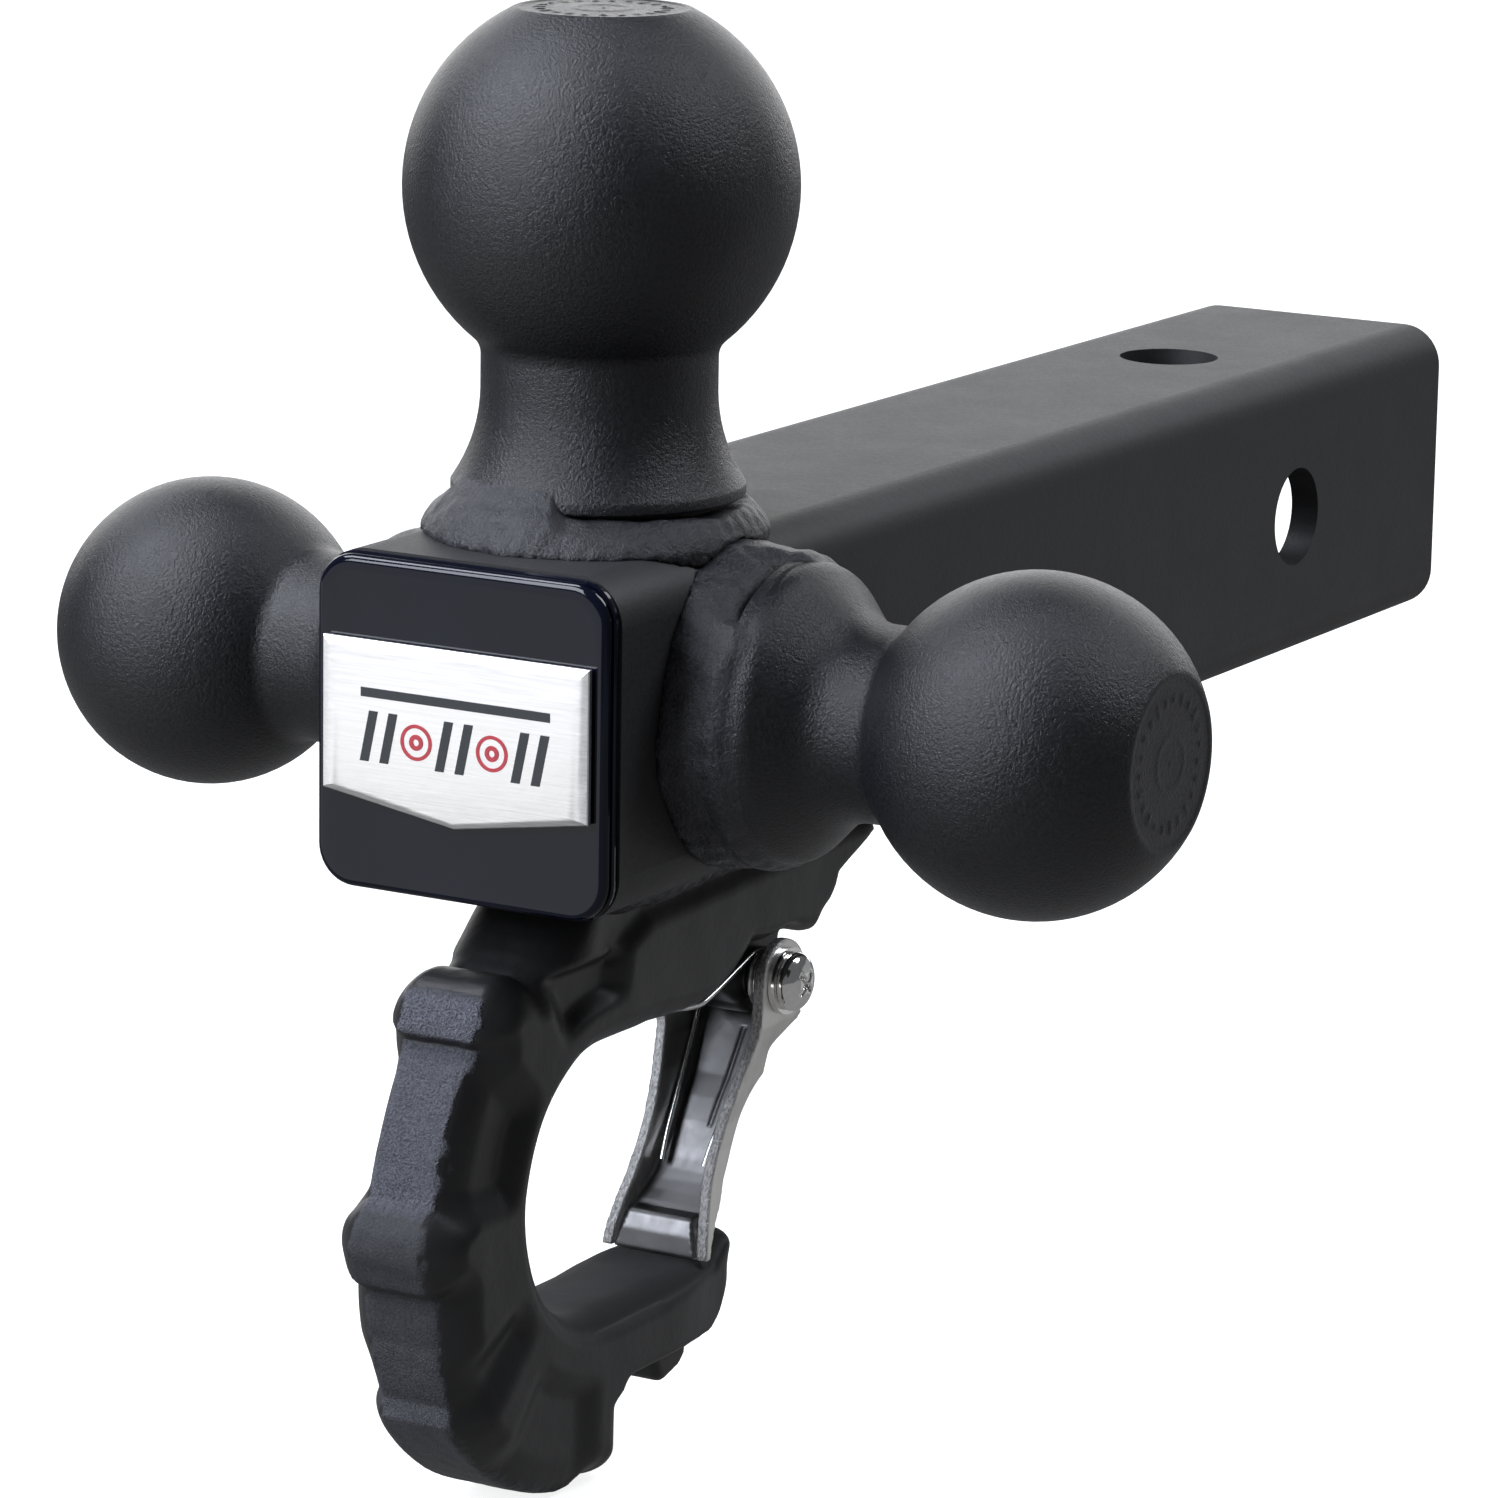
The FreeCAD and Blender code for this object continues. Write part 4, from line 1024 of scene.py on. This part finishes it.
def shield_loop(half, top, foot, point, margin, foot_margin):
    """The badge's outline, pulled in by one margin on its top and sides and another below."""
    side = half - margin
    return [(side, top - margin), (-side, top - margin), (-side, foot + foot_margin),
            (0, point + foot_margin), (side, foot + foot_margin)]


def badge():
    """A plate with a wide bevel along its top and sides and a narrow one along its foot."""
    half, top, foot, point = 22.8, 12.9, -9.9, -13.4
    margins = [(0, 0.1, 0.1), (0.1, 0, 0), (0.78, 0, 0), (0.96, 0.15, 0.15), (1.12, 0.8, 0.4),
               (1.26, 1.6, 0.6), (1.35, 2.4, 0.8), (1.40, 3.3, 1.0)]
    loops = [(BADGE_BACK - depth, shield_loop(half, top, foot, point, *both))
             for depth, *both in margins]
    made = stacked("badge_bevelled", loops, BADGE_METAL, 12)
    piece(made, "mount", "badge_metal", "badge_plate")


def plaque(name, shapes, material):
    """Thin raised shapes on the badge's face, each an outline of (y, z) points."""
    points, faces = [], []
    for shape in shapes:
        faces += skin(len(points), len(shape), 2)
        points += [(FRONT / MM + x, y, z) for x in (MOTIF_TOP, MOTIF_FOOT) for y, z in shape]
    made = mesh_object(name, [Vector(point) * MM for point in points], faces, material, 30)
    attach(made, "mount")


def band(y, z, outer, inner, count=40):
    """A ring on the badge as two half outlines."""
    halves = []
    for start in (0, math.pi):
        turns = np.linspace(start, start + math.pi, count // 2 + 1)
        halves.append([(y + inner * math.cos(t), z + inner * math.sin(t)) for t in turns]
                      + [(y + outer * math.cos(t), z + outer * math.sin(t)) for t in turns[::-1]])
    return halves


def badge_motif():
    """A plain pattern: a rule over slanted bars, with two red rings between them."""
    bars = [[(y + 0.75, -5.0), (y + 0.75 - 1.6, 2.6), (y - 0.75 - 1.6, 2.6), (y - 0.75, -5.0)]
            for y in (15.2, 11.8, 2.2, -1.2, -10.8, -14.2)]
    rule = [[(15.8, 4.6), (15.8, 6.0), (-16.6, 6.0), (-16.6, 4.6)]]
    rings = []
    for y in (6.2, -6.8):
        rings += band(y, -1.2, 2.7, 2.15) + band(y, -1.2, 1.2, 0.5, 24)
    plaque("badge_bars", [shape[::-1] for shape in bars + rule], DARK_ENAMEL)
    plaque("badge_rings", rings, RED_ENAMEL)


# --- spring ---


def smooth_run(points, steps=8):
    """A soft curve through the points."""
    ends = [2 * np.array(points[0]) - points[1]] + [np.array(p) for p in points]
    ends.append(2 * np.array(points[-1]) - points[-2])
    run = []
    for a, b, c, d in zip(ends, ends[1:], ends[2:], ends[3:]):
        for k in range(steps):
            t = k / steps
            run.append(0.5 * (2 * b + (c - a) * t + (2 * a - 5 * b + 4 * c - d) * t ** 2
                              + (3 * b - a - 3 * c + d) * t ** 3))
    return run + [np.array(points[-1], float)]


def tube(run, radius, sides=12):
    """Points and faces of a round wire along a run of points."""
    run = [Vector(point) for point in run]
    last = len(run) - 1
    ways = [(run[min(k + 1, last)] - run[max(k - 1, 0)]).normalized() for k in range(last + 1)]
    across = ways[0].orthogonal().normalized()
    points, faces = [], []
    for centre, way in zip(run, ways):
        across = (across - way * across.dot(way)).normalized()
        other = way.cross(across)
        points += [centre + radius * (math.cos(2 * math.pi * k / sides) * across
                                      + math.sin(2 * math.pi * k / sides) * other)
                   for k in range(sides)]
    for here in range(0, last * sides, sides):
        faces += ring_quads(here, here + sides, sides)
    faces.append(tuple(reversed(range(sides))))
    faces.append(tuple(range(last * sides, (last + 1) * sides)))
    return points, faces


def latch_spring():
    """One wire: a leg on the web, a coil, an arm, the bridge, and the same again mirrored."""
    wire, coil_radius, turns, pitch, near = 0.45, 4.35, 2.25, 0.92, 5.15
    far = near + turns * pitch
    coil = [(coil_radius * math.sin(a), near + pitch * a / (2 * math.pi), coil_radius * math.cos(a))
            for a in np.linspace(0, turns * 2 * math.pi, int(turns * 28))]
    arm = smooth_run([(-26.2, 0, 0.3), (-26.2, near - 1.2, 0.3), (-25.0, near, 0.3),
                      (-19.2, near, -0.5), (-15.3, near, 0.0), (-6.3, near, 2.8),
                      (-2.0, near, 4.2)])
    half = [tuple(point) for point in arm] + coil
    other = [(x, -y, z) for x, y, z in half]
    points, faces = tube(other[::-1] + half[1:], wire)
    moved = [point * MM + PIVOT for point in points]
    body = mesh_object("spring_coils", moved, faces, SPRING_STEEL)
    piece(body, "mount", "spring_steel", "latch_spring")
    for side, name in ((1, "left"), (-1, "right")):
        leg = smooth_run([(x, side * y, z) for x, y, z in (
            (coil_radius, far, 0.6), (4.1, far, -2.6), (0.6, 6.3, -7.2), (-3.9, 5.4, -13.0),
            (-7.9, 4.7, -18.2), (-11.6, 4.2, -23.4), (-14.1, 3.8, -27.8))])
        points, faces = tube(leg, wire)
        made = mesh_object("spring_leg_" + name, [point * MM + PIVOT for point in points], faces,
                           SPRING_STEEL)
        piece(made, "latch", "spring_steel")


# --- pivot hardware ---


def pivot_screw():
    """Domed head with a cross recess, a plain shank and a bevelled tip; the head faces -Y."""
    step = 0.16
    low, high = (-5.2, -14.4, -5.2), (5.2, 17.0, 5.2)
    x, y, z = lattice(low, high, step)
    around = np.hypot(x, z)
    seat = -10.7
    dome = np.sqrt(around ** 2 + ((y - seat + 0.9) * 2.05) ** 2) - 4.62
    head = round_max(dome, y - seat, 0.2)
    skirt = round_max(around - 4.6, np.maximum(y - seat, seat - 1.15 - y), 0.35)
    head = round_min(head, skirt, 0.1)
    rising, falling = np.abs(x - z) / 1.414, np.abs(x + z) / 1.414
    cross = np.minimum(np.maximum(falling - 0.55, rising - 2.4),
                       np.maximum(rising - 0.55, falling - 2.4))
    taper = (y - (seat - 3.2)) * 0.35
    recess = np.maximum(cross + taper, y - (seat - 1.5))
    head = round_max(head, -recess, 0.2)
    rod = round_max(around - 2.42, y - 16.2, 0.6)
    solid = np.minimum(head, np.maximum(rod, seat - 1 - y))
    solid = np.maximum(solid, seat - 3.05 - y)
    made = solid_from_field("pivot_screw_domed", solid, low, step, PIVOT, HARDWARE_STEEL)
    piece(made, "mount", "hardware_steel", "pivot_screw")


def lock_nut():
    """Hexagon with bevelled corners and the locking ring's collar; it sits on the far side."""
    step = 0.2
    low, high = (-5.2, 10.2, -5.2), (5.2, 16.0, 5.2)
    x, y, z = lattice(low, high, step)
    around = np.hypot(x, z)
    near, far = 10.72, 14.3
    sides = [np.abs(x * math.cos(t) + z * math.sin(t)) for t in (0, math.pi / 3, 2 * math.pi / 3)]
    flats = np.maximum(np.maximum(sides[0], sides[1]), sides[2]) - 4.0
    hexagon = np.maximum(flats, np.maximum(near - y, y - far))
    bevels = np.maximum(around + (y - far) * 1.7 - 4.05, around + (near - y) * 1.7 - 4.25)
    collar = round_max(around - 3.45, y - 15.25, 0.6)
    body = np.minimum(np.maximum(hexagon, bevels), np.maximum(collar, 12 - y))
    body = np.maximum(body, 2.46 - around)
    made = solid_from_field("pivot_lock_nut_bevelled", body, low, step, PIVOT, HARDWARE_STEEL)
    piece(made, "mount", "hardware_steel", "pivot_lock_nut")


# --- assembly ---

tow_hook()
hook_latch()
ball("top_ball", 29.37, 76.3, Matrix.Translation((BALLS_X, 0, 0)))
ball("left_ball", 23.815, 69.9, on_y(1, BALLS_X, SIDE_RISE * MM))
ball("right_ball", 25.4, 74.5, on_y(-1, BALLS_X, SIDE_RISE * MM))
side_bead(1, "left_ball")
side_bead(-1, "right_ball")
top_bead()
hook_bead(1, "left")
hook_bead(-1, "right")
end_cap()
badge()
badge_motif()
latch_spring()
pivot_screw()
lock_nut()

for name, look in (("receiver_shank", SHANK_COAT), ("pivot_sleeve", HARDWARE_STEEL),
                   ("pivot_washer_left", HARDWARE_STEEL), ("pivot_washer_right", HARDWARE_STEEL),
                   ("badge_tape", TAPE_FOAM)):
    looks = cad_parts[name].data.materials
    looks.clear()
    looks.append(look)
